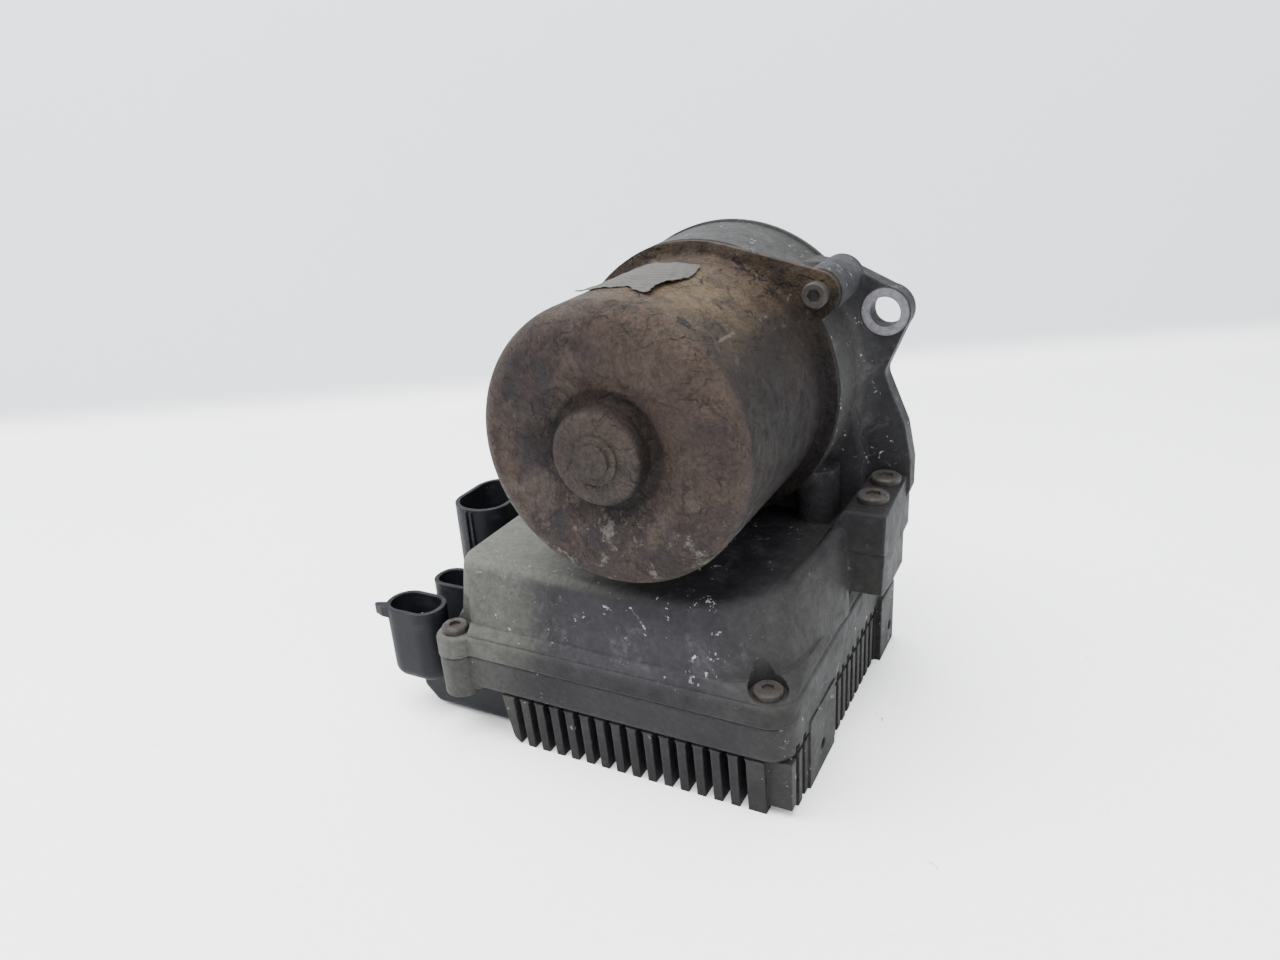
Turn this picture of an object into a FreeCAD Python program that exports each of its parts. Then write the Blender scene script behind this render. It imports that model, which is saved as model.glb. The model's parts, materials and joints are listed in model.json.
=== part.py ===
import FreeCAD
import Part
import math
import os

V = FreeCAD.Vector

# Electric power steering motor with its control unit, in millimetres.
# The motor axis is Y. The origin lies on it, in the plane of the mounting ears' rear faces.
# The can's closed end points to minus Y, the drive end to plus Y, and the fins point down.

# Motor can, deep drawn from sheet steel
can_r = 45.0
can_wall = 2.0
can_length = 70.0
can_end_round = 7.2
can_flange_w = 5.0
flange_t = 2.5
end_boss_r = 15.0
end_boss_h = 5.0
end_groove_r = 17.6
end_rim_r = 25.5
end_groove_d = 3.0
coin_radii = (7.6, 5.1)
coin_step = 0.8

# Can ears and their screws
ear_angle = 38.5
ear_reach = 9.5
can_ear_r = 7.3
m5_r = 2.5
m5_clearance = 0.25
m5_head_r = 4.75
m5_head_h = 2.5
can_head_r = 4.3
can_head_h = 3.2
can_screw_length = 14.0
drive_recess_share = 0.5

# Motor end housing, part of the cover casting
housing_depth = 31.5
housing_lip = 0.3
pilot_reach = 1.5
pilot_h = 2.0
pilot_step = 0.8
housing_bore_gap = 1.0
end_wall = 5.0
bearing_lip = 2.0
circlip_t = 1.2
circlip_groove = 0.9
bearing_hub_t = 5.5
spigot_r = 27.0
spigot_bore_r = 20.0
spigot_h = 5.0
o_ring_w = 2.0
o_ring_d = 1.4

# Bracket plate with two mounting ears
plate_t = 7.5
mount_reach = 10.7
mount_angle = 21.2
mount_hole_r = 5.25
mount_boss_r = 8.1
mount_boss_h = 0.5
mount_ear_r = 8.6
screw_boss_r = 7.7
plate_fillet = 8.0

# Heights from the motor down to the fin tips
can_to_roof = 5.0
cover_height = 34.9
fin_height = 21.1
cover_flange_t = 8.4
base_plate_t = 13.5
gasket_t = 0.5

# Plan of the flange between cover and base
flange_x0 = -72.5
flange_x1 = 57.5
flange_y0 = -104.2
flange_y1 = 18.0
flange_radii = (9.0, 9.5, 9.0, 9.0)
flange_round = 2.0

# Cover walls: insets from the flange at the foot and at the roof, as left, right, front and rear
foot_insets = (0.6, 2.5, 3.0, 3.0)
roof_insets = (3.0, 11.0, 8.0, 6.0)
foot_radii = (13.0, 26.0, 9.0, 9.0)
roof_radii = (10.0, 27.0, 12.0, 10.0)
roof_round = 5.0
rear_step = 10.0
skirt_h = 3.5
skirt_insets = (0.2, 0.8, 0.8, 0.8)
cover_wall = 3.0

# Cover screws at the corners, inwards from the flange: front left, front right, rear right, rear left
cover_screw_insets = ((4.0, 2.8), (9.6, 7.3), (8.0, 7.5), (6.5, 7.5))
cover_ear_r = 7.2
screw_recess_r = 6.4
cover_screw_length = 16.0
base_ear_drop = 2.4
ear_block_w = 12.5

# Label remnant on top of the can
label_t = 0.35
label_from_front = 9.0
label_length = 37.0
label_angle = 40.0
label_turn = 97.0

# Corner pillar with the ledge under the bracket plate
ledge_over_roof = 13.1
pillar_w = 14.3
pillar_reach = 11.8
pillar_taper = 1.8
pillar_low_taper = 3.4
pillar_wide_h = 21.0
pillar_front_y = -42.5
pillar_upper_h = 14.6
pillar_step = 1.2
pillar_front_h = 31.0
pillar_rear_h = 38.0
pillar_bank_w = 9.0
blend_length = 36.0
ledge_screw_inset = 7.5
ledge_screw_ys = (-30.6, -13.4)
ledge_head_r = 5.4
ledge_head_h = 2.6
ledge_shank_r = 3.0
ledge_shank_l = 16.0

# Neck between the motor housing and the cover
neck_x0 = -40.0
neck_x1 = 55.0
neck_front_y = -18.0
neck_lobe = (39.8, -22.3, 7.5)
busbar_slot = (44.0, 9.0)

# Heat sink under the base plate
fin_insets = (22.0, 0.7, 1.0, 0.5)
slot_w = 3.0
slot_pitch = 6.07
first_slot = 6.3
slot_rise = 0.3
fin_draft = 1.6
corner_recess_w = 9.1
corner_recess_d = 2.4
corner_lift = 3.4
first_side_slot = 8.8
side_slot_rise = 4.7
side_slot_depth = 8.5
front_pad_span = (19.6, 46.2)
front_pad_stand = 0.1
rear_pad_w = 19.5
rear_pad_stand = 1.7
pad_rise = 5.5
side_hole_r = 2.1
side_hole_depth = 8.0
side_hole_h = 9.0
rear_hole_inset = 6.5

# Connector header, measured from the flange's left front corner and the fin tips
header_floor = 1.2
header_gap = 1.7
header_reach = 23.5
header_front = 10.2
header_length = 61.0
header_chamfer = 6.5
seal_t = 0.6
shroud_wall = 1.7
# Shrouds as left, right, front, rear, bottom, rim, floor of the socket and corner radius
medium_shroud_sizes = (-31.8, -8.1, 2.4, 18.6, 14.9, 45.0, 22.5, 7.8)
small_shroud_sizes = (-24.5, -3.5, 23.3, 37.3, 20.0, 46.5, 24.5, 6.5)
big_shroud_sizes = (-23.7, -0.7, 38.6, 70.7, 20.0, 72.0, 31.5, 10.5)
window_sizes = (9.0, 18.6, 12.0, 66.7)
fit_gap = 0.3
blade_w = 7.0
blade_t = 1.2
pin_w = 0.64
pin_row_gap = 6.0

# Circuit board and what stands on it
board_over_joint = 14.9
board_t = 1.6
board_insets = (10.5, 15.5, 12.2, 19.0)
standoff_insets = ((16.0, 8.0), (14.0, 14.0), (8.0, 7.0), (12.0, 9.0))
standoff_r = 3.6
m3_r = 1.5
m3_head_r = 2.75
m3_head_h = 2.0
board_screw_length = 7.0

# Board pieces, placed from the board's left front corner
capacitor_r = 6.0
capacitor_length = 24.0
capacitor_spots = ((50.0, 12.0), (50.0, 25.5), (50.0, 39.0))
choke_radii = (8.0, 4.2)
choke_spot = (84.0, 34.0)
relay_size = (18.0, 14.0, 12.0)
relay_spot = (90.0, 58.0)
chip_sizes = ((14.0, 14.0, 1.6), (10.0, 10.0, 1.5), (8.0, 6.0, 1.5), (5.0, 4.0, 1.4))
chip_spots = ((24.0, 58.0), (24.0, 38.0), (66.0, 52.0), (32.0, 80.0))

# Power stage on the base plate, and the strips that feed the motor
module_t = 2.0
module_w = 60.0
module_length = 54.0
transistor_size = (9.0, 10.0, 4.2)
transistor_xs = (-18.0, 0.0, 18.0)
transistor_rows = (9.0, 23.0)
busbar_xs = (-14.0, 0.0, 14.0)
busbar_w = 6.0
busbar_t = 1.2
terminal_t = 4.0
terminal_bore_r = 31.0

# Shaft and bearings: bore radius, outer radius, width, ball radius, number of balls
front_bearing = (5.0, 13.0, 8.0, 2.3, 7)
drive_bearing = (7.5, 17.5, 11.0, 2.9, 8)
cage_gap = 0.08
spring_washer_t = 0.8
shaft_core_r = 8.5
shaft_end_gap = 1.2
hub_r = 16.0
hub_disc_t = 5.0
hub_jaw_h = 9.0
hub_start = 1.0
hub_bore_r = 6.0
jaw_angle = 40.0
spider_leg_angle = 18.0

# Rotor and stator
magnet_t = 3.0
sleeve_t = 0.4
magnet_count = 8
air_gap = 0.8
core_length = 38.0
core_front_gap = 14.0
slot_number = 12
tooth_share = 0.24
yoke_t = 5.0
tip_t = 2.0
winding_depth = 11.0
coil_gap = 1.0
insulator_t = 1.5
busbar_wall_gap = 5.0
resolver_length = 7.0
resolver_bore_r = 15.0


def place_xz(y):
    """Points of a section across the motor axis, at depth y."""
    return lambda a, b: V(a, y, b)


def place_xy(z):
    """Points of a plan at height z."""
    return lambda a, b: V(a, b, z)


def outline(corners, place):
    """Closed wire through corners (a, b, radius), each rounded by its own radius."""
    spans = []
    for index, (a, b, radius) in enumerate(corners):
        here = V(a, b, 0)
        before = V(*corners[index - 1][:2], 0) - here
        after = V(*corners[(index + 1) % len(corners)][:2], 0) - here
        before.normalize()
        after.normalize()
        if radius == 0:
            spans.append((here, None, here))
            continue
        half = before.getAngle(after) / 2
        bisector = before + after
        bisector.normalize()
        centre = here + bisector * (radius / math.sin(half))
        reach = radius / math.tan(half)
        spans.append((here + before * reach, centre - bisector * radius, here + after * reach))
    edges = []
    for index, (start, middle, end) in enumerate(spans):
        if middle is not None:
            points = [place(p.x, p.y) for p in (start, middle, end)]
            edges.append(Part.Arc(*points).toShape())
        following = spans[(index + 1) % len(spans)][0]
        if (following - end).Length > 1e-6:
            edges.append(Part.makeLine(place(end.x, end.y), place(following.x, following.y)))
    return Part.Wire(edges)


def prism(corners, place, along):
    """Straight solid over a rounded outline."""
    return Part.Face(outline(corners, place)).extrude(along)


def rectangle(x0, x1, y0, y1, radii):
    """Corners of a rectangle, front left first and then counter-clockwise seen from above."""
    spots = ((x0, y0), (x1, y0), (x1, y1), (x0, y1))
    return [(x, y, radius) for (x, y), radius in zip(spots, radii)]


def plan_block(x0, x1, y0, y1, z0, z1, radius=0.0):
    """Upright block with equal corner radii."""
    corners = rectangle(x0, x1, y0, y1, (radius,) * 4)
    return prism(corners, place_xy(z0), V(0, 0, z1 - z0))


def rod(radius, y0, y1, x=0.0, z=0.0):
    """Cylinder along the motor axis direction."""
    return Part.makeCylinder(radius, y1 - y0, V(x, y0, z), V(0, 1, 0))


def tube(outer, inner, y0, y1):
    """Tube about the motor axis."""
    return rod(outer, y0, y1).cut(rod(inner, y0, y1))


def post(radius, x, y, z0, z1):
    """Upright cylinder."""
    return Part.makeCylinder(radius, z1 - z0, V(x, y, z0), V(0, 0, 1))


def lathe(points):
    """Solid turned about the motor axis from (radius, y) corners."""
    wire = Part.makePolygon([V(r, y, 0) for r, y in points + points[:1]])
    return Part.Face(wire).revolve(V(0, 0, 0), V(0, 1, 0), 360)


def turned(shape, degrees):
    """Copy of a shape turned about the motor axis, from plus X towards plus Z."""
    copy = shape.copy()
    copy.rotate(V(0, 0, 0), V(0, -1, 0), degrees)
    return copy


def polar(radius, degrees):
    """X and Z of a point around the motor axis."""
    angle = math.radians(degrees)
    return radius * math.cos(angle), radius * math.sin(angle)


def fuse(shapes):
    """One solid out of touching shapes, with the seams between them removed."""
    return shapes[0].multiFuse(shapes[1:]).removeSplitter()


def round_edges(shape, radius, wanted):
    """Fillet on the edges that the test picks."""
    edges = [edge for edge in shape.Edges if wanted(edge)]
    return shape.makeFillet(radius, edges)


def is_ring(edge, radius, y):
    """True for a full circle about the motor axis with this radius and depth."""
    curve = edge.Curve
    if not isinstance(curve, Part.Circle):
        return False
    return abs(curve.Radius - radius) < 0.01 and abs(curve.Center.y - y) < 0.01


def ears_xz():
    """Angles of the two opposite can ears."""
    return ear_angle, ear_angle + 180.0


def mount_angles():
    """Angles of the two opposite mounting ears."""
    return mount_angle, mount_angle + 180.0


def socket_screw(head_r, head_h, shank_r, shank_l):
    """Screw pointing down from the origin, with a six-sided drive recess in its head."""
    bevel = 0.12 * head_r
    head = Part.makeCylinder(head_r, head_h - bevel)
    rim = Part.makeCone(head_r, head_r - bevel, bevel, V(0, 0, head_h - bevel))
    shank = Part.makeCylinder(shank_r, shank_l, V(0, 0, -shank_l))
    recess_d = head_h * drive_recess_share
    sides = [V(*polar(shank_r * 0.92, 60 * k), head_h - recess_d) for k in range(7)]
    recess = Part.Face(Part.makePolygon(sides)).extrude(V(0, 0, recess_d))
    return fuse([head, rim, shank]).cut(recess)


def placed(shape, spot, axis=V(0, 0, 1)):
    """Copy of a shape built at the origin along Z, moved to a spot and turned to an axis."""
    copy = shape.copy()
    copy.Placement = FreeCAD.Placement(spot, FreeCAD.Rotation(V(0, 0, 1), axis))
    return copy


# Radii that follow the can
flange_r = can_r + can_flange_w
ear_pitch_r = can_r + ear_reach
housing_front_r = flange_r + housing_lip
pilot_r = housing_front_r + pilot_reach
housing_bore_r = can_r + housing_bore_gap
mount_pitch_r = pilot_r + mount_reach
stator_bore_r = can_r - can_wall - yoke_t - winding_depth - tip_t
rotor_core_r = stator_bore_r - air_gap - sleeve_t - magnet_t
tooth_w = tooth_share * stator_bore_r
coil_start_r = stator_bore_r + tip_t + 0.6
coil_w = coil_start_r * math.tan(math.pi / slot_number) - tooth_w / 2 - 0.2 - coil_gap

# Depths along the motor axis
flange_back = -housing_depth
flange_front = flange_back - flange_t
can_front = flange_front - can_length
pocket_end = can_front - end_boss_h + can_wall
front_bearing_y = pocket_end + spring_washer_t
drive_bearing_y = pilot_h - bearing_lip - drive_bearing[2]
hub_front_y = drive_bearing_y - circlip_t - 0.8
core_y0 = can_front + core_front_gap
core_y1 = core_y0 + core_length

# Levels
cover_top_z = -can_r - can_to_roof
joint_z = cover_top_z - cover_height
base_top_z = joint_z
base_under_z = base_top_z - base_plate_t
floor_z = base_under_z - fin_height
cover_under_z = joint_z + gasket_t
flange_top_z = joint_z + cover_flange_t
roof_z = cover_top_z - cover_wall
low_roof_z = cover_top_z - rear_step
ledge_z = cover_top_z + ledge_over_roof
board_z = joint_z + board_over_joint
side_hole_z = floor_z + side_hole_h

# Plans
pillar_x1 = flange_x1 + pillar_reach
pillar_x0 = pillar_x1 - pillar_w
ledge_screw_x = pillar_x1 - ledge_screw_inset
fin_x0 = flange_x0 + fin_insets[0]
fin_x1 = flange_x1 - fin_insets[1]
fin_y0 = flange_y0 + fin_insets[2]
fin_y1 = flange_y1 - fin_insets[3]
front_pad = (flange_y0 + front_pad_span[0], flange_y0 + front_pad_span[1])
rear_pad = (fin_y1 - rear_pad_w, fin_y1)
front_pad_x = flange_x1 + front_pad_stand
rear_pad_x = flange_x1 + rear_pad_stand
front_hole_y = (front_pad[0] + front_pad[1]) / 2
rear_hole_y = flange_y1 - rear_hole_inset
header_x1 = fin_x0 - header_gap
header_x0 = flange_x0 - header_reach
header_y0 = flange_y0 + header_front
header_y1 = header_y0 + header_length


def at_corners(x0, x1, y0, y1, insets):
    """Spots near the corners of a rectangle: front left, front right, rear right, rear left."""
    corners = ((x0, 1, y0, 1), (x1, -1, y0, 1), (x1, -1, y1, -1), (x0, 1, y1, -1))
    return [(x + sx * dx, y + sy * dy) for (x, sx, y, sy), (dx, dy) in zip(corners, insets)]


def from_corner(sizes):
    """Shroud sizes moved from the flange's left front corner and the fin tips to the row's origin."""
    x0, x1, y0, y1, bottom, rim, socket_floor, radius = sizes
    return (flange_x0 + x0, flange_x0 + x1, flange_y0 + y0, flange_y0 + y1, floor_z + bottom, floor_z + rim,
            floor_z + socket_floor, radius)


cover_screw_spots = at_corners(flange_x0, flange_x1, flange_y0, flange_y1, cover_screw_insets)
board_x0 = flange_x0 + board_insets[0]
board_x1 = flange_x1 - board_insets[1]
board_y0 = flange_y0 + board_insets[2]
board_y1 = flange_y1 - board_insets[3]
standoffs = at_corners(board_x0, board_x1, board_y0, board_y1, standoff_insets)
medium_shroud = from_corner(medium_shroud_sizes)
small_shroud = from_corner(small_shroud_sizes)
big_shroud = from_corner(big_shroud_sizes)
pin_end_z = board_z + board_t + 1.2
busbar_y = neck_front_y + 2.0 + busbar_slot[1] / 2
module_y1 = busbar_y + busbar_w / 2 + 0.5
module_y0 = module_y1 - module_length
terminal_y0 = core_y1 + insulator_t + coil_w + 0.3
window = (flange_x0 + window_sizes[0], flange_x0 + window_sizes[1], flange_y0 + window_sizes[2],
          flange_y0 + window_sizes[3])


def ear_plan(radius, y0, y1, overlap):
    """Straight-sided ears of the can flange or the bosses behind them."""
    ears = []
    for angle in ears_xz():
        x, z = polar(ear_pitch_r, angle)
        ears.append(rod(radius, y0, y1, x, z))
        web = Part.makeBox(ear_pitch_r - overlap, y1 - y0, 2 * radius, V(overlap, y0, -radius))
        ears.append(turned(web, angle))
    return ears


def flange_webs():
    """Flat webs of the can flange from its rim to the upper side of each ear."""
    spread = math.degrees(math.acos((flange_r - can_ear_r) / ear_pitch_r))
    webs = []
    for angle, side in zip(ears_xz(), (1, -1)):
        rim = polar(flange_r, angle + side * spread)
        ear_x, ear_z = polar(ear_pitch_r, angle)
        tip_x, tip_z = polar(can_ear_r, angle + side * spread)
        section = Part.makePolygon([V(x, flange_front, z) for x, z in
                                    ((0, 0), rim, (ear_x + tip_x, ear_z + tip_z), (ear_x, ear_z), (0, 0))])
        webs.append(Part.Face(section).extrude(V(0, flange_t, 0)))
    return webs


def motor_can():
    """Deep-drawn can with a bearing boss in its closed end and two screw ears on its flange."""
    boss_y = can_front - end_boss_h
    groove_y = can_front + end_groove_d
    outer = lathe([(0, boss_y), (end_boss_r, boss_y), (end_boss_r, groove_y), (end_groove_r, groove_y),
                   (end_rim_r, can_front), (can_r, can_front), (can_r, flange_back), (0, flange_back)])
    outer = round_edges(outer, can_end_round, lambda e: is_ring(e, can_r, can_front))
    outer = round_edges(outer, 2.2, lambda e: is_ring(e, end_boss_r, boss_y))
    outer = round_edges(outer, 1.6, lambda e: is_ring(e, end_boss_r, groove_y))
    outer = round_edges(outer, 3.5, lambda e: is_ring(e, end_groove_r, groove_y))
    outer = round_edges(outer, 14.0, lambda e: is_ring(e, end_rim_r, can_front))
    flange = rod(flange_r, flange_front, flange_back)
    flange = fuse([flange] + ear_plan(can_ear_r, flange_front, flange_back, can_r) + flange_webs())
    outer = fuse([outer, flange])
    outer = round_edges(outer, 1.8, lambda e: is_ring(e, can_r, flange_front))
    for step, radius in enumerate(coin_radii, start=1):
        outer = outer.fuse(rod(radius, boss_y - step * coin_step, boss_y))
    inner_front = can_front + can_wall
    pocket_r = front_bearing[1]
    pocket_mouth = groove_y + can_wall
    groove_in_r = end_groove_r + can_wall / 2
    rim_in_r = end_rim_r + can_wall / 2
    bore_r = can_r - can_wall
    inner = lathe([(0, pocket_end), (pocket_r, pocket_end), (pocket_r, pocket_mouth),
                   (groove_in_r, pocket_mouth), (rim_in_r, inner_front), (bore_r, inner_front),
                   (bore_r, flange_back), (0, flange_back)])
    inner_round = can_end_round - can_wall
    inner = round_edges(inner, inner_round, lambda e: is_ring(e, bore_r, inner_front))
    can = outer.cut(inner)
    for angle in ears_xz():
        x, z = polar(ear_pitch_r, angle)
        can = can.cut(rod(m5_r + m5_clearance, flange_front, flange_back, x, z))
    return can


def rounded_loft(z0, z1, insets0, insets1, radii0, radii1, extra=0.0):
    """Tapered block between two rounded plans, both measured inwards from the flange."""
    wires = []
    for z, insets, radii in ((z0, insets0, radii0), (z1, insets1, radii1)):
        left, right, front, rear = (inset + extra for inset in insets)
        corners = rectangle(flange_x0 + left, flange_x1 - right, flange_y0 + front, flange_y1 - rear,
                            [max(radius - extra, 2.0) for radius in radii])
        wires.append(outline(corners, place_xy(z)))
    return Part.makeLoft(wires, True, True)


def flange_slab(z0, z1, inset=0.0):
    """Slab with the plan of the joint between cover and base, ears included."""
    corners = rectangle(flange_x0 + inset, flange_x1 - inset, flange_y0 + inset, flange_y1 - inset,
                        flange_radii)
    slab = prism(corners, place_xy(z0), V(0, 0, z1 - z0))
    ears = [post(cover_ear_r - inset, x, y, z0, z1) for x, y in cover_screw_spots]
    return fuse([slab] + ears)


def behind_plate(front, low):
    """Block over the cover's low rear part, where the steering gear's flange goes."""
    width = flange_x1 - flange_x0
    return Part.makeBox(width, flange_y1 - front, cover_top_z - low + 1.0, V(flange_x0, front, low))


def cavity():
    """Room inside the cover, clear of the screw recesses at its corners."""
    room = rounded_loft(flange_top_z, roof_z, foot_insets, roof_insets, foot_radii, roof_radii, cover_wall)
    room = room.cut(behind_plate(-cover_wall, low_roof_z - cover_wall))
    foot = [inset + cover_wall for inset in foot_insets]
    corners = rectangle(flange_x0 + foot[0], flange_x1 - foot[1], flange_y0 + foot[2], flange_y1 - foot[3],
                        [radius - cover_wall for radius in foot_radii])
    room = room.fuse(prism(corners, place_xy(joint_z), V(0, 0, flange_top_z - joint_z)))
    for x, y in cover_screw_spots:
        room = room.cut(post(screw_recess_r + cover_wall, x, y, joint_z, cover_top_z))
    return room


def swell(outlines):
    """Hollow fillet between the motor housing and the plate, inside the given outlines."""
    inner = housing_bore_r + 2.0
    root = housing_front_r + pilot_step / 2
    front = -plate_t - plate_fillet
    bend = plate_fillet * math.sqrt(0.5)
    arc = Part.Arc(V(root, front, 0), V(root + plate_fillet - bend, front + bend, 0),
                   V(root + plate_fillet, -plate_t, 0)).toShape()
    rest = Part.makePolygon([V(root + plate_fillet, -plate_t, 0), V(inner, -plate_t, 0), V(inner, front, 0),
                             V(root, front, 0)])
    ring = Part.Face(Part.Wire([arc] + rest.Edges)).revolve(V(0, 0, 0), V(0, 1, 0), 360)
    for angle in mount_angles():
        x, z = polar(mount_pitch_r, angle)
        ring = ring.cut(rod(mount_boss_r + 0.4, front - 1.0, -plate_t, x, z))
    return [ring.common(outline_block) for outline_block in outlines]


def bracket_plate():
    """Plate across the drive end: two ears, their bosses and the bulge beside the pillar."""
    ear_x, ear_z = polar(mount_pitch_r, mount_angle)
    boss_x, boss_z = polar(ear_pitch_r, ear_angle)
    edge_x = pillar_x1 - 0.3
    mid_x = pillar_x1 - pillar_taper
    low_x = pillar_x1 - pillar_low_taper
    side = [(20.0, 20.0, 0), (boss_x - 12.0, boss_z + 6.2, 0), (boss_x + 3.4, boss_z + 3.6, 5.0),
            (ear_x + 4.0, ear_z + mount_ear_r - 1.2, 0), (ear_x + 7.6, ear_z - 3.6, 0),
            (pilot_r + 6.6, 1.2, 5.0),
            (edge_x - 2.6, -17.5, 6.0), (edge_x, ledge_z + 6.0, 6.0), (edge_x, ledge_z - 5.0, 2.0),
            (mid_x, ledge_z - 9.0, 2.0), (mid_x, ledge_z - pillar_wide_h + 2.0, 2.0),
            (low_x, ledge_z - pillar_wide_h - 2.0, 2.0), (low_x, ledge_z - pillar_rear_h, 1.0),
            (flange_x1, flange_top_z - 4.0, 0), (10.0, flange_top_z - 4.0, 0)]
    plate = prism(side, place_xz(-plate_t), V(0, plate_t, 0))
    deep = V(0, plate_fillet, 0)
    front = prism(side, place_xz(-plate_t - plate_fillet), deep)
    ear_plan_corners = [(30.0, -26.0, 0), (mount_pitch_r, -mount_ear_r, 0),
                        (mount_pitch_r, mount_ear_r, 0), (30.0, 26.0, 0)]
    far_ear = prism(ear_plan_corners, place_xz(-plate_t), V(0, plate_t, 0))
    far_ear = turned(far_ear, mount_angle + 180.0)
    far_front = turned(prism(ear_plan_corners, place_xz(-plate_t - plate_fillet), deep), mount_angle + 180.0)
    shapes = [plate, far_ear] + swell([front, far_front])
    for angle in mount_angles():
        x, z = polar(mount_pitch_r, angle)
        shapes.append(rod(mount_ear_r, -plate_t, 0, x, z))
        shapes.append(rod(mount_boss_r, -plate_t - mount_boss_h, 0, x, z))
    return shapes


def pillar():
    """Corner pillar under the ledge, stepped back down its front, and its blend into the cover."""
    step_y = pillar_front_y + pillar_step
    front = [(pillar_front_y, ledge_z, 1.0), (0, ledge_z, 0), (0, ledge_z - pillar_rear_h, 0),
             (step_y, ledge_z - pillar_front_h, 1.5), (step_y, ledge_z - pillar_upper_h, 0),
             (pillar_front_y, ledge_z - pillar_upper_h, 0.6)]
    bank_x = pillar_x0 - pillar_bank_w
    width = pillar_x1 - bank_x
    column = prism(front, lambda a, b: V(bank_x, a, b), V(width, 0, 0))
    end_view = [(bank_x, cover_top_z - 1.0, 0), (pillar_x0, ledge_z, 2.5), (pillar_x1, ledge_z, 1.5),
                (pillar_x1 - 0.3, ledge_z - pillar_upper_h, 0),
                (pillar_x1 - 0.9, ledge_z - pillar_front_h, 0),
                (pillar_x1 - 2.5, ledge_z - pillar_rear_h, 0), (bank_x, ledge_z - pillar_rear_h, 0)]
    across = prism(end_view, place_xz(pillar_front_y), V(0, -pillar_front_y, 0))
    plans = []
    for taper, low, high in ((pillar_taper, pillar_wide_h, 0.0), (pillar_low_taper, pillar_rear_h, pillar_wide_h)):
        top_view = [(bank_x, pillar_front_y, 0), (pillar_x1, pillar_front_y, 0.8),
                    (pillar_x1 - taper, 0, 0), (bank_x, 0, 0)]
        plans.append(prism(top_view, place_xy(ledge_z - low), V(0, 0, low - high)))
    column = column.common(across).common(fuse(plans))
    foot_x = flange_x1 - foot_insets[1]
    top_x = flange_x1 - roof_insets[1]
    inner_x = top_x - 3.0
    low = flange_top_z
    far = outline([(inner_x, low, 0), (foot_x - 0.4, low, 0), (top_x - 0.4, cover_top_z - 1.6, 4.5),
                   (inner_x, cover_top_z - 1.5, 0)], place_xz(pillar_front_y - blend_length))
    close = outline([(inner_x, low, 0), (foot_x + 2.4, low, 0), (pillar_x0 + 0.6, ledge_z - 1.0, 2.5),
                     (bank_x, cover_top_z - 1.2, 0)], place_xz(step_y))
    return [column, Part.makeLoft([far, close], True, True)]


def neck():
    """Web that joins the motor housing to the cover's roof, with a round lobe at its front."""
    top_z = -0.65 * housing_bore_r
    corners = [(neck_x0 + 8.0, top_z, 0), (neck_x0, roof_z - 1.0, 0), (neck_x1, roof_z - 1.0, 0),
               (neck_x1, ledge_z, 0), (neck_x1 - 6.0, -4.0, 0)]
    body = prism(corners, place_xz(neck_front_y), V(0, -neck_front_y, 0))
    lobe_x, lobe_y, lobe_r = neck_lobe
    lobe = post(lobe_r, lobe_x, lobe_y, roof_z, top_z)
    bore = rod(housing_bore_r + 2.0, lobe_y - lobe_r, 0)
    return [body.cut(bore), lobe.cut(bore)]


def drive_end_bores(cover):
    """Room for the motor's end, the bearing seat, its circlip groove and the shaft."""
    seat_r = drive_bearing[1]
    wall_front = pilot_h - end_wall
    cover = cover.cut(rod(housing_bore_r, flange_back, wall_front))
    hub = tube(seat_r + bearing_hub_t, seat_r, hub_front_y, wall_front)
    cover = cover.fuse(hub)
    cover = cover.cut(rod(seat_r, hub_front_y, drive_bearing_y + drive_bearing[2]))
    cover = cover.cut(rod(seat_r + circlip_groove, drive_bearing_y - circlip_t, drive_bearing_y))
    cover = cover.cut(rod(seat_r - 4.0, drive_bearing_y, pilot_h))
    return cover


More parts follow.
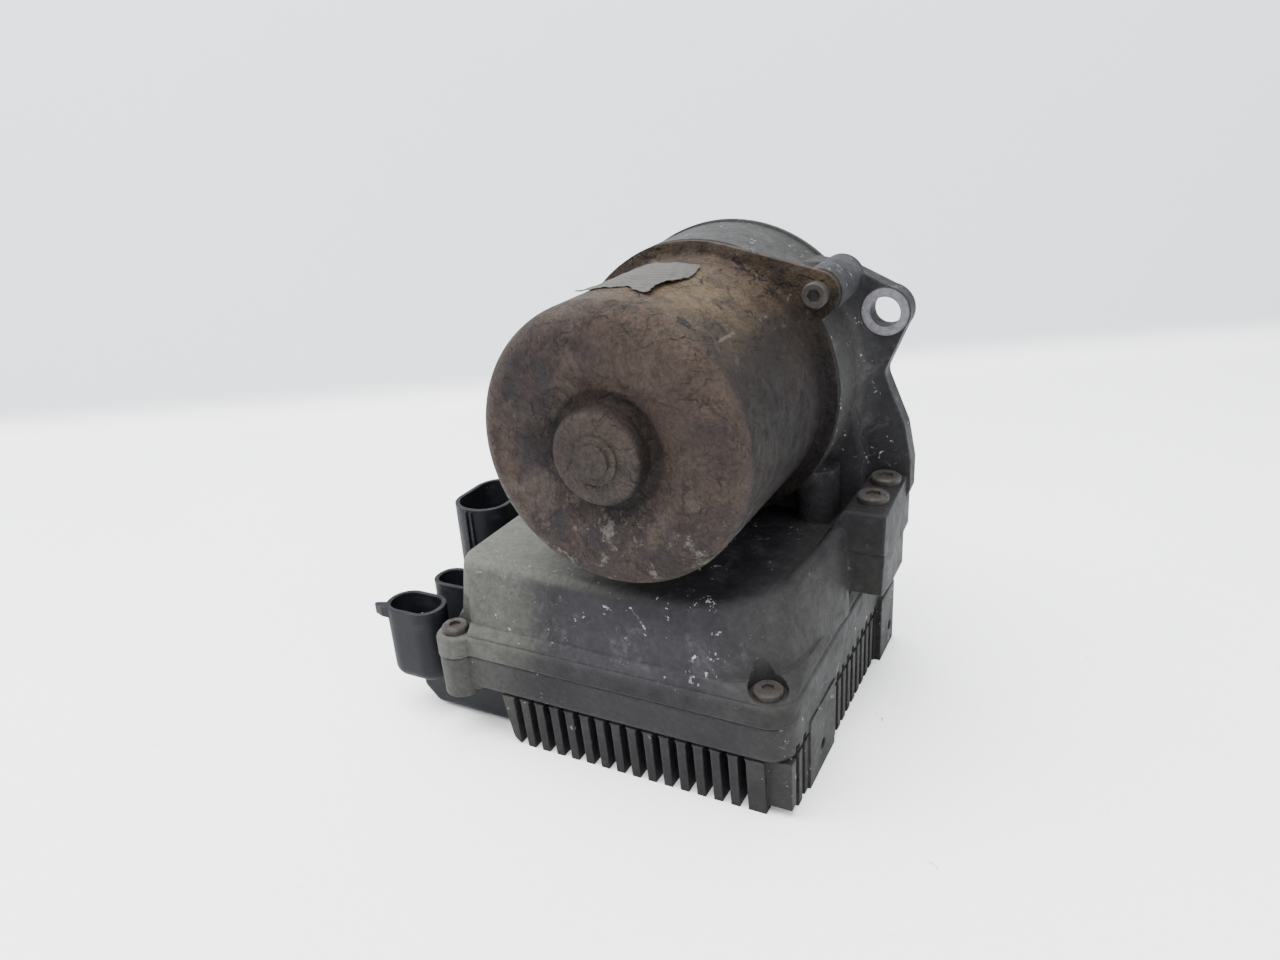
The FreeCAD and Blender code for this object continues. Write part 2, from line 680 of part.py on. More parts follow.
def housing_cover():
    """The cover casting: electronics cover, motor end housing, bracket plate and pillar in one piece."""
    barrel = lathe([(0, flange_back), (housing_front_r, flange_back), (pilot_r - pilot_step, 0),
                    (pilot_r, 0), (pilot_r, pilot_h), (0, pilot_h)])
    box = rounded_loft(flange_top_z, cover_top_z, foot_insets, roof_insets, foot_radii, roof_radii)
    box = round_edges(box, roof_round, lambda e: e.BoundBox.ZMin > cover_top_z - 0.01)
    box = box.cut(behind_plate(0.0, low_roof_z))
    skirt = rounded_loft(flange_top_z, flange_top_z + skirt_h, skirt_insets, foot_insets,
                         flange_radii, foot_radii)
    bosses = ear_plan(screw_boss_r, flange_back, -plate_t + 2.0, housing_bore_r + 2.0)
    shapes = [box, skirt, barrel] + bosses + bracket_plate() + pillar() + neck()
    flange = flange_slab(cover_under_z, flange_top_z)
    flange = round_edges(flange, flange_round, lambda e: e.BoundBox.ZMin > flange_top_z - 0.01)
    shapes.append(flange)
    cover = fuse(shapes)
    for x, y in cover_screw_spots:
        cover = cover.cut(post(screw_recess_r, x, y, flange_top_z, flange_top_z + 12.0))
        cover = cover.cut(post(m5_r + m5_clearance, x, y, cover_under_z, flange_top_z))
    cover = cover.cut(cavity())
    cover = drive_end_bores(cover)
    slot_x, slot_y = busbar_slot
    slot = plan_block(-slot_x / 2, slot_x / 2, busbar_y - slot_y / 2, busbar_y + slot_y / 2,
                      roof_z - 1.0, -housing_bore_r * 0.85, 3.0)
    cover = cover.cut(slot)
    spigot = tube(spigot_r, spigot_bore_r, pilot_h, pilot_h + spigot_h)
    groove_y = pilot_h + 1.2
    spigot = spigot.cut(tube(spigot_r, spigot_r - o_ring_d, groove_y, groove_y + o_ring_w))
    cover = cover.fuse(spigot)
    for angle in mount_angles():
        x, z = polar(mount_pitch_r, angle)
        cover = cover.cut(rod(mount_hole_r, -plate_t - mount_boss_h, 0, x, z))
    for angle in ears_xz():
        x, z = polar(ear_pitch_r, angle)
        cover = cover.cut(rod(m5_r, flange_back, flange_back + 16.0, x, z))
    for y in ledge_screw_ys:
        cover = cover.cut(post(ledge_shank_r, ledge_screw_x, y, ledge_z - ledge_shank_l, ledge_z))
    seal = can_seal()
    return cover.cut(seal).removeSplitter()


def can_seal():
    """Rubber ring in a groove of the housing's front face."""
    middle = (housing_bore_r + housing_front_r) / 2
    return tube(middle + 0.8, middle - 0.8, flange_back, flange_back + 1.2)


def fin_slots():
    """The long channels between the fins, with round tops."""
    slots = []
    half = slot_w / 2
    height = fin_height + slot_rise
    x = fin_x0 + first_slot
    while x + half < flange_x1 - corner_recess_w - half:
        channel = Part.makeBox(slot_w, fin_y1 - fin_y0 + 8.0, height - half)
        slots.append(placed(channel, V(x - half, fin_y0 - 4.0, floor_z)))
        slots.append(rod(half, fin_y0 - 4.0, fin_y1 + 4.0, x, floor_z + height - half))
        x += slot_pitch
    return slots


def side_slots():
    """Short channels up the right side, left out where the two pads stand."""
    slots = []
    height = fin_height + side_slot_rise
    y = flange_y0 + first_side_slot
    while y + slot_w / 2 < rear_pad[0]:
        if y + slot_w < front_pad[0] or y - slot_w > front_pad[1]:
            slots.append(Part.makeBox(side_slot_depth + 5.0, slot_w, height,
                                      V(fin_x1 - side_slot_depth, y - slot_w / 2, floor_z)))
        y += slot_pitch
    return slots


def heat_sink_base():
    """Base casting: plate, screw ears, fins and two pads with tapped holes on the right side."""
    plate = flange_slab(base_under_z, base_top_z, 0.4)
    plate = round_edges(plate, 3.0, lambda e: e.BoundBox.ZMax < base_under_z + 0.01)
    profile = [(fin_x0 + 2.4, floor_z, 5.0), (fin_x1, floor_z, 0.8), (fin_x1, base_under_z, 0),
               (fin_x0, base_under_z, 0)]
    block = prism(profile, place_xz(fin_y0), V(0, fin_y1 - fin_y0, 0))
    wedge = Part.makePolygon([V(fin_x0 - 5, fin_y0, floor_z), V(fin_x0 - 5, fin_y0 + fin_draft, floor_z),
                              V(fin_x0 - 5, fin_y0, base_under_z), V(fin_x0 - 5, fin_y0, floor_z)])
    block = block.cut(Part.Face(wedge).extrude(V(fin_x1 - fin_x0 + 10, 0, 0)))
    shapes = [plate, block]
    for (y0, y1), x in ((front_pad, front_pad_x), (rear_pad, rear_pad_x)):
        shapes.append(plan_block(fin_x1 - 6.0, x, y0, y1, floor_z, base_under_z + pad_rise))
    for x, y in cover_screw_spots:
        if x < fin_x0:
            shapes.append(post(cover_ear_r - 0.6, x, y, base_under_z - base_ear_drop, base_top_z))
    ear_block = plan_block(flange_x0 + 0.4, flange_x0 + ear_block_w, flange_y0 + 0.4, header_y0 - fit_gap,
                           base_under_z - base_ear_drop, base_top_z - 4.0, 4.0)
    ear_block_z = base_under_z - base_ear_drop
    shapes.append(round_edges(ear_block, 3.0, lambda e: e.BoundBox.ZMax < ear_block_z + 0.01))
    base = fuse(shapes)
    base = base.cut(Part.makeCompound(fin_slots()))
    base = base.cut(Part.makeCompound(side_slots()))
    corner_x = flange_x1 - corner_recess_w
    recess = Part.makeBox(20.0, corner_recess_d + 4.0, base_under_z - floor_z,
                          V(corner_x, fin_y0 - 4.0, floor_z))
    base = base.cut(recess)
    base = base.cut(Part.makeBox(20.0, 10.0, corner_lift, V(corner_x, fin_y0 - 2.0, floor_z)))
    for (y, x) in ((front_hole_y, front_pad_x), (rear_hole_y, rear_pad_x)):
        base = base.cut(Part.makeCylinder(side_hole_r, side_hole_depth, V(x, y, side_hole_z), V(-1, 0, 0)))
    x0, x1, y0, y1 = window
    base = base.cut(plan_block(x0, x1, y0, y1, base_under_z, base_top_z, 2.0))
    for x, y in cover_screw_spots:
        base = base.cut(post(m5_r, x, y, flange_top_z - cover_screw_length - 1.0, base_top_z))
    posts = [post(standoff_r, x, y, base_top_z - 1.0, board_z) for x, y in standoffs]
    base = fuse([base] + posts)
    for x, y in standoffs:
        base = base.cut(post(m3_r, x, y, board_z - 8.0, board_z))
    return base


def cover_gasket():
    """Flat seal between cover and base."""
    ring = flange_slab(joint_z, joint_z + gasket_t, 1.0)
    ring = ring.cut(cavity())
    for x, y in cover_screw_spots:
        ring = ring.cut(post(m5_r + m5_clearance, x, y, joint_z, joint_z + gasket_t))
    return ring


def shroud(sizes, drop_round=0.0):
    """Open socket for a plug: rounded tube with a closed floor."""
    x0, x1, y0, y1, bottom, rim, socket_floor, radius = sizes
    body = plan_block(x0, x1, y0, y1, bottom, rim, radius)
    if drop_round:
        body = round_edges(body, drop_round, lambda e: e.BoundBox.ZMax < bottom + 0.01)
    room = plan_block(x0 + shroud_wall, x1 - shroud_wall, y0 + shroud_wall, y1 - shroud_wall,
                      socket_floor, rim, radius - shroud_wall)
    return body, room


def u_pin(x_out, x_in, y, width, thick, tip_z, run_z, end_z):
    """Flat conductor: down from the plug, across under the base plate and up to the board."""
    half = thick / 2
    outer_bend = 1.2 * thick
    inner_bend = 0.2 * thick
    corners = [(x_out - half, tip_z, 0), (x_out - half, run_z - half, outer_bend),
               (x_in + half, run_z - half, outer_bend), (x_in + half, end_z, 0), (x_in - half, end_z, 0),
               (x_in - half, run_z + half, inner_bend), (x_out + half, run_z + half, inner_bend),
               (x_out + half, tip_z, 0)]
    return prism(corners, place_xz(y - width / 2), V(0, width, 0))


def power_blades():
    """Two supply blades of the big plug."""
    x0, x1, y0, y1, bottom, rim, socket_floor, radius = big_shroud
    x = (x0 + x1) / 2
    middle = (y0 + y1) / 2
    x_in = (window[0] + window[1]) / 2
    return [u_pin(x, x_in, y, blade_w, blade_t, rim - 12.0, floor_z + 8.0, pin_end_z)
            for y in (middle - blade_w, middle + blade_w)]


def small_pins(sizes, ys, tip_drop):
    """Two rows of square pins, nested so that the paths stay apart."""
    x0, x1, y0, y1, bottom, rim, socket_floor, radius = sizes
    x = (x0 + x1) / 2
    x_in = (window[0] + window[1]) / 2
    near = pin_row_gap / 2
    pins = []
    for y in ys:
        pins.append(u_pin(x - near, x_in + 2.2, y, pin_w, pin_w, rim - tip_drop, floor_z + 7.0, pin_end_z))
        pins.append(u_pin(x + near, x_in - 2.2, y, pin_w, pin_w, rim - tip_drop, floor_z + 10.5, pin_end_z))
    return pins


def bus_pins():
    """Pins of the medium plug, in the part of the socket that stands over the header's body."""
    first = window[2] + fit_gap + 1.0 + pin_w / 2
    return small_pins(medium_shroud, (first, first + 2.4), 8.0)


def sensor_pins():
    """Pins of the small plug."""
    middle = (small_shroud[2] + small_shroud[3]) / 2
    return small_pins(small_shroud, (middle - 1.8, middle + 1.8), 7.0)


def connector_header():
    """Moulded header: body under the base plate, three shrouds and the tower into the housing."""
    bottom = floor_z + header_floor
    top = base_under_z - seal_t
    profile = [(header_x0, bottom + header_chamfer, 4.0), (header_x0 + header_chamfer, bottom, 4.0),
               (header_x1, bottom, 0.8), (header_x1, top, 0), (header_x0, top, 0)]
    body = prism(profile, place_xz(header_y0), V(0, header_y1 - header_y0, 0))
    body = round_edges(body, 3.0, lambda e: abs(e.Vertexes[0].Y - header_y0) < 0.01
                       and abs(e.Vertexes[-1].Y - header_y0) < 0.01 and e.BoundBox.ZMax < bottom + 0.01)
    medium, medium_room = shroud(medium_shroud, 5.0)
    small, small_room = shroud(small_shroud)
    big, big_room = shroud(big_shroud)
    x0, x1, y0, y1 = window
    tower = plan_block(x0 + fit_gap, x1 - fit_gap, y0 + fit_gap, y1 - fit_gap, top - 2.0, base_top_z + 2.0,
                       2.0 - fit_gap)
    left, front, rim = medium_shroud[0], medium_shroud[2], medium_shroud[5]
    lug_plan = [(left - 3.0, front + 2.0, 0), (left - 3.0, front + 3.2, 0), (left + 1.0, front + 4.8, 0),
                (left + 6.0, front + 4.8, 0), (left + 6.0, front + 0.6, 0), (left + 1.0, front + 0.6, 0)]
    lug = prism(lug_plan, place_xy(rim - 4.0), V(0, 0, 4.0))
    rib_x = (big_shroud[0] + big_shroud[1]) / 2 - 1.7
    ribs = [plan_block(rib_x + dx, rib_x + dx + 0.9, big_shroud[2] - 0.9, big_shroud[2] + 3.0, top - 2.0,
                       big_shroud[5] - 0.8) for dx in (0.0, 2.4)]
    header = fuse([body, medium, small, big, tower, lug] + ribs)
    for room in (medium_room, small_room, big_room):
        header = header.cut(room)
    pins = power_blades() + bus_pins() + sensor_pins()
    return header.cut(Part.makeCompound(pins))


def header_seal():
    """Flat seal between the header and the base plate, round the window."""
    x0, x1, y0, y1 = window
    top = base_under_z
    ring = plan_block(x0 - 4.0, header_x1 - 0.2, header_y0 + 0.2, y1 + 4.0, top - seal_t, top, 0.5)
    return ring.cut(plan_block(x0 + fit_gap, x1 - fit_gap, y0 + fit_gap, y1 - fit_gap, top - seal_t, top,
                               2.0 - fit_gap))


def bearing_ring(bore, outer, y0, width):
    """Plain ring of a bearing race."""
    return tube(outer, bore, y0, y0 + width)


def bearing(sizes, y0):
    """Outer race, inner race, cage and balls of a deep-groove ball bearing."""
    bore, outer, width, ball_r, count = sizes
    span = outer - bore
    pitch = (bore + outer) / 2
    middle = y0 + width / 2
    groove = Part.makeTorus(pitch, ball_r + 0.05, V(0, middle, 0), V(0, 1, 0))
    outer_race = bearing_ring(outer - span * 0.26, outer, y0, width).cut(groove)
    inner_race = bearing_ring(bore, bore + span * 0.26, y0, width).cut(groove)
    cage = bearing_ring(pitch - span * 0.12, pitch + span * 0.12, middle - ball_r * 1.4, ball_r * 2.8)
    pocket = Part.makeCylinder(ball_r + cage_gap, outer, V(0, middle, 0), V(1, 0, 0))
    ball = Part.makeSphere(ball_r, V(pitch, middle, 0))
    angles = [index * 360.0 / count for index in range(count)]
    cage = cage.cut(Part.makeCompound([turned(pocket, angle) for angle in angles]))
    balls = [turned(ball, angle) for angle in angles]
    return outer_race, inner_race, cage, Part.makeCompound(balls)


def rotor_shaft():
    """Stepped shaft from the front bearing to the coupling hub."""
    front_r = front_bearing[0]
    drive_r = drive_bearing[0]
    shoulder = front_bearing_y + front_bearing[2]
    seat_end = drive_bearing_y + drive_bearing[2]
    start = pocket_end + shaft_end_gap
    end = pilot_h + hub_start + hub_disc_t + hub_jaw_h - 1.0
    shoulder_r = front_r + 1.6
    core_start = core_y0 - 3.0
    return lathe([(0, start), (front_r - 0.6, start), (front_r, start + 0.6), (front_r, shoulder),
                  (shoulder_r, shoulder), (shoulder_r, core_start), (shaft_core_r, core_start),
                  (shaft_core_r, drive_bearing_y), (drive_r, drive_bearing_y), (drive_r, seat_end),
                  (hub_bore_r, seat_end), (hub_bore_r, end - 0.8), (hub_bore_r - 0.8, end), (0, end)])


def rotor_magnets():
    """Magnet segments round the core."""
    inner = rotor_core_r
    segment_angle = 360.0 / magnet_count - 4.0
    ring = tube(inner + magnet_t, inner, core_y0, core_y1)
    return [turned(ring.common(sector(segment_angle, inner + magnet_t + 2.0, core_y0, core_y1)),
                   index * 360.0 / magnet_count) for index in range(magnet_count)]


def sector(angle, radius, y0, y1):
    """Wedge of under half a turn, centred on plus X and reaching past the radius."""
    reach = radius / math.cos(math.radians(angle / 2))
    x, z = polar(reach, angle / 2)
    section = Part.makePolygon([V(0, y0, 0), V(x, y0, -z), V(x, y0, z), V(0, y0, 0)])
    return Part.Face(section).extrude(V(0, y1 - y0, 0))


def jaws(angle, inner, outer, y0, y1, count, offset):
    """Equal sectors of a ring, evenly spaced."""
    ring = tube(outer, inner, y0, y1)
    return [turned(ring.common(sector(angle, outer + 2.0, y0, y1)), offset + index * 360.0 / count)
            for index in range(count)]


def drive_hub():
    """Coupling hub with three jaws, pressed on the shaft."""
    y0 = pilot_h + hub_start
    disc = tube(hub_r, hub_bore_r, y0, y0 + hub_disc_t)
    blocks = jaws(jaw_angle, hub_bore_r + 3.0, hub_r, y0 + hub_disc_t, y0 + hub_disc_t + hub_jaw_h, 3, 30.0)
    return fuse([disc] + blocks)


def coupling_spider():
    """Rubber star between the hub's jaws: a ring with a leg at each flank."""
    y0 = pilot_h + hub_start + hub_disc_t
    y1 = y0 + hub_jaw_h - 1.0
    ring = tube(hub_bore_r + 2.8, hub_bore_r, y0, y1)
    legs = []
    flank = (jaw_angle + spider_leg_angle) / 2 + 0.8
    for side in (-flank, flank):
        legs += jaws(spider_leg_angle, hub_bore_r + 2.0, hub_r - 0.6, y0, y1, 3, 30.0 + side)
    return fuse([ring] + legs)


def tooth_plate(y0, y1, trim):
    """Stator section: yoke, teeth and tooth tips; trim holds it back from the real section."""
    outer = can_r - can_wall - trim
    bore = stator_bore_r + trim
    yoke = tube(outer, can_r - can_wall - yoke_t + trim, y0, y1)
    tips = tube(stator_bore_r + tip_t, bore, y0, y1)
    parts = [yoke]
    half = tooth_w / 2 - trim
    for index in range(slot_number):
        angle = index * 360.0 / slot_number
        tooth = Part.makeBox(outer - bore - 1.5, y1 - y0, 2 * half, V(bore + 0.5, y0, -half))
        parts.append(turned(tooth, angle))
        gap = Part.makeBox(tip_t + 4.0, y1 - y0, 2.6, V(bore - 2.0, y0, -1.3))
        tips = tips.cut(turned(gap, angle + 180.0 / slot_number))
    return fuse(parts + [tips])


def stator_windings():
    """One coil round each tooth."""
    y0 = core_y0 - insulator_t
    y1 = core_y1 + insulator_t
    half = tooth_w / 2 + 0.2
    outer_r = math.sqrt((can_r - can_wall - yoke_t - 0.3) ** 2 - (half + coil_w) ** 2)
    depth = outer_r - coil_start_r
    coils = []
    for index in range(slot_number):
        outer = prism(rectangle(y0 - coil_w, y1 + coil_w, -half - coil_w, half + coil_w, (coil_w,) * 4),
                      lambda a, b: V(coil_start_r, a, b), V(depth, 0, 0))
        inner = Part.makeBox(depth, y1 - y0, 2 * half, V(coil_start_r, y0, -half))
        coils.append(turned(outer.cut(inner), index * 360.0 / slot_number))
    return coils


def phase_busbars():
    """Three copper strips from the terminal ring through the neck to the power module."""
    bars = []
    z = -can_r + can_wall + busbar_wall_gap
    foot_z = base_top_z + module_t
    flat_y0 = terminal_y0 + terminal_t
    half_t = busbar_t / 2
    for middle in busbar_xs:
        x = middle - busbar_w / 2
        flat = Part.makeBox(busbar_w, busbar_y + half_t - flat_y0, busbar_t, V(x, flat_y0, z))
        drop = Part.makeBox(busbar_w, busbar_t, z + busbar_t - foot_z, V(x, busbar_y - half_t, foot_z))
        foot = Part.makeBox(busbar_w, busbar_w, busbar_t, V(x, busbar_y - busbar_w, foot_z))
        bars.append(fuse([flat, drop, foot]))
    return bars


def terminal_ring():
    """Plastic ring that carries the winding ends behind the stator."""
    return tube(can_r - can_wall - 1.0, terminal_bore_r, terminal_y0, terminal_y0 + terminal_t)


def circuit_board():
    """Control board with rounded corners, its pin holes and a cut-out for the busbars."""
    corners = rectangle(board_x0, board_x1, board_y0, board_y1, (4.0, 20.0, 8.0, 4.0))
    board = prism(corners, place_xy(board_z), V(0, 0, board_t))
    for x, y in standoffs:
        board = board.cut(post(m3_r + 0.2, x, y, board_z, board_z + board_t))
    reach = max(busbar_xs) + busbar_w / 2 + 2.0
    slot = plan_block(-reach, reach, busbar_y - 2.5, busbar_y + 2.5, board_z, board_z + board_t, 1.0)
    pins = power_blades() + bus_pins() + sensor_pins()
    return board.cut(slot).cut(Part.makeCompound(pins))


def on_board(size, spot):
    """Block that stands on the control board, centred on a spot counted from the board's corner."""
    length, width, height = size
    x = board_x0 + spot[0] - length / 2
    y = board_y0 + spot[1] - width / 2
    return Part.makeBox(length, width, height, V(x, y, board_z + board_t))


def capacitors():
    """Three lying capacitors with a crimp ring."""
    cans = []
    z = board_z + board_t + capacitor_r
    crimp = 0.5
    for x, y in capacitor_spots:
        left = board_x0 + x - capacitor_length / 2
        can = Part.makeCylinder(capacitor_r, capacitor_length, V(left, board_y0 + y, z), V(1, 0, 0))
        groove = Part.makeCylinder(capacitor_r, 1.2, V(left + 3.0, board_y0 + y, z), V(1, 0, 0))
        core = Part.makeCylinder(capacitor_r - crimp, 1.2, V(left + 3.0, board_y0 + y, z), V(1, 0, 0))
        cans.append(can.cut(groove.cut(core)))
    return cans


def filter_choke():
    """Ring-shaped choke of the supply filter."""
    ring_r, wire_r = choke_radii
    centre = V(board_x0 + choke_spot[0], board_y0 + choke_spot[1], board_z + board_t + wire_r)
    return Part.makeTorus(ring_r, wire_r, centre, V(0, 0, 1))


def relay():
    """Supply relay in its box."""
    box = on_board(relay_size, relay_spot)
    return round_edges(box, 1.0, lambda e: e.BoundBox.ZMin > board_z + board_t + 1.0)


def control_chips():
    """Processor, driver and sensor chips."""
    return [on_board(size, spot) for size, spot in zip(chip_sizes, chip_spots)]


def power_transistors():
    """Six switching transistors on the power module."""
    length, width, height = transistor_size
    z = base_top_z + module_t
    return [Part.makeBox(length, width, height, V(x - length / 2, module_y0 + row - width / 2, z))
            for x in transistor_xs for row in transistor_rows]


def power_module():
    """Metal-backed board that carries the power stage."""
    half = module_w / 2
    return plan_block(-half, half, module_y0, module_y1, base_top_z, base_top_z + module_t, 2.0)


def label_remnant():
    """What is left of a label on top of the can: a thin curved flap with torn ends."""
    y0 = can_front + label_from_front
    y1 = y0 + label_length
    patch = tube(can_r + label_t, can_r, y0, y1)
    flap = patch.common(turned(sector(label_angle, can_r + 2.0, y0, y1), label_turn))
    far = can_r + 5.0
    tear = [(-far, y0 - 5.0, 0), (far, y0 - 5.0, 0), (far, y0 + 3.0, 0), (6.0, y0 + 5.5, 0),
            (-8.0, y0 + 1.0, 0), (-far, y0 + 2.0, 0)]
    torn = prism(tear, place_xy(0.0), V(0, 0, far))
    return flap.cut(torn)


def save(name, shape):
    """Write one named sub-part; a list becomes a group of separate solids."""
    if isinstance(shape, list):
        shape = Part.makeCompound(shape)
    shape.exportStep("parts/" + name + ".step")


def screws_down(spots, z, screw):
    """Copies of a screw standing head up at plan spots."""
    return [placed(screw, V(x, y, z)) for x, y in spots]


def main():
    os.makedirs("parts", exist_ok=True)
    m5_screw = socket_screw(m5_head_r, m5_head_h, m5_r, cover_screw_length)
    can_screw = socket_screw(can_head_r, can_head_h, m5_r, can_screw_length)
    ledge_screw = socket_screw(ledge_head_r, ledge_head_h, ledge_shank_r, ledge_shank_l)
    m3_screw = socket_screw(m3_head_r, m3_head_h, m3_r, board_screw_length)
    front_outer, front_inner, front_cage, front_balls = bearing(front_bearing, front_bearing_y)
    drive_outer, drive_inner, drive_cage, drive_balls = bearing(drive_bearing, drive_bearing_y)
    sleeve_r = rotor_core_r + magnet_t
    seat_r = drive_bearing[1]
    washer_r = front_bearing[1] - 0.4
    groove_y = pilot_h + 1.2
    resolver_y = hub_front_y - resolver_length
    circlip_y = drive_bearing_y - circlip_t
    ear_spots = [polar(ear_pitch_r, angle) for angle in ears_xz()]
    nodes = {
        "housing_cover": housing_cover(),
        "heat_sink_base": heat_sink_base(),
        "cover_gasket": cover_gasket(),
        "connector_header": connector_header(),
        "header_seal": header_seal(),
        "power_blades": power_blades(),
        "bus_pins": bus_pins(),
        "sensor_pins": sensor_pins(),
        "cover_screws": screws_down(cover_screw_spots, flange_top_z, m5_screw),
        "ledge_screws": screws_down([(ledge_screw_x, y) for y in ledge_screw_ys], ledge_z, ledge_screw),
        "motor_can": motor_can(),
        "can_screws": [placed(can_screw, V(x, flange_front, z), V(0, -1, 0)) for x, z in ear_spots],
        "can_seal": can_seal(),
        "label_remnant": label_remnant(),
        "stator_core": tooth_plate(core_y0, core_y1, 0.0),
        "front_insulator": tooth_plate(core_y0 - insulator_t, core_y0, 0.3),
        "rear_insulator": tooth_plate(core_y1, core_y1 + insulator_t, 0.3),
        "stator_windings": stator_windings(),
        "terminal_ring": terminal_ring(),
        "phase_busbars": phase_busbars(),
        "power_module": power_module(),
        "power_transistors": power_transistors(),
        "circuit_board": circuit_board(),
        "board_screws": screws_down(standoffs, board_z + board_t, m3_screw),
        "capacitors": capacitors(),
        "filter_choke": filter_choke(),
        "relay": relay(),
        "control_chips": control_chips(),
        "spring_washer": tube(washer_r, washer_r - 3.2, pocket_end, pocket_end + spring_washer_t),
        "front_outer_race": front_outer,
        "drive_outer_race": drive_outer,
        "bearing_circlip": tube(seat_r + circlip_groove, seat_r - 2.0, circlip_y, drive_bearing_y),
        "resolver_stator": tube(seat_r + bearing_hub_t, resolver_bore_r, resolver_y, hub_front_y),
        "register_o_ring": tube(spigot_r, spigot_r - o_ring_d, groove_y, groove_y + o_ring_w),
        "rotor_shaft": rotor_shaft(),
        "rotor_core": tube(rotor_core_r, shaft_core_r, core_y0, core_y1),
        "rotor_magnets": rotor_magnets(),
        "magnet_sleeve": tube(sleeve_r + sleeve_t, sleeve_r, core_y0 - 0.5, core_y1 + 0.5),
        "front_inner_race": front_inner,
        "drive_inner_race": drive_inner,
        "resolver_rotor": tube(resolver_bore_r - air_gap, shaft_core_r, resolver_y + 0.5, hub_front_y - 0.5),
        "drive_hub": drive_hub(),
        "coupling_spider": coupling_spider(),
        "front_cage": front_cage,
        "front_balls": front_balls,
        "drive_cage": drive_cage,
        "drive_balls": drive_balls,
    }
    for name, shape in nodes.items():
        save(name, shape)


main()
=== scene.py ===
import json
import math
import random

import bpy
from mathutils import Matrix, Vector


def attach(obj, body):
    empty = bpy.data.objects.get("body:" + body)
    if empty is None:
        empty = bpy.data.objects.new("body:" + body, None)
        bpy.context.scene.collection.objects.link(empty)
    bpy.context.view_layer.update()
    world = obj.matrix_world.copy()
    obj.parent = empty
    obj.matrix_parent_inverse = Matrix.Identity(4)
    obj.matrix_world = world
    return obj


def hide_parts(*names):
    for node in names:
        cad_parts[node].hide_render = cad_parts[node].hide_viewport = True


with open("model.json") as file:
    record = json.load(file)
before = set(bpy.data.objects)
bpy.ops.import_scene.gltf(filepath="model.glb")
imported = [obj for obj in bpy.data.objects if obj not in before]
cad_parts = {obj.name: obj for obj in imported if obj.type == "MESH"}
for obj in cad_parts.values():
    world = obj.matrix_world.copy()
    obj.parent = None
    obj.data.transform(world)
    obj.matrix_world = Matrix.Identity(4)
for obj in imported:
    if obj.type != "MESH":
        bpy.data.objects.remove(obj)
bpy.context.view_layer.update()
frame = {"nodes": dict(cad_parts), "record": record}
NODES = frame["nodes"]

FLOOR_Z = -0.1195                          # the fins' tips stand on it
LAMP_TARGET = (0.0, -0.04, -0.06)          # the middle of the unit
CAN_RADIUS_MM = 45.0
EAR_HOLE = (0.05827, 0.0226)               # x and z of the right mounting hole
CAMERA_PLACE = (0.139143, -0.336244, 0.104145)
CAMERA_YAW, CAMERA_PITCH, CAMERA_ROLL = math.radians(-28.693), math.radians(22.689), math.radians(4.017)
FOCAL_PIXELS, IMAGE_WIDTH, SENSOR_MM = 983.934, 1280.0, 36.0


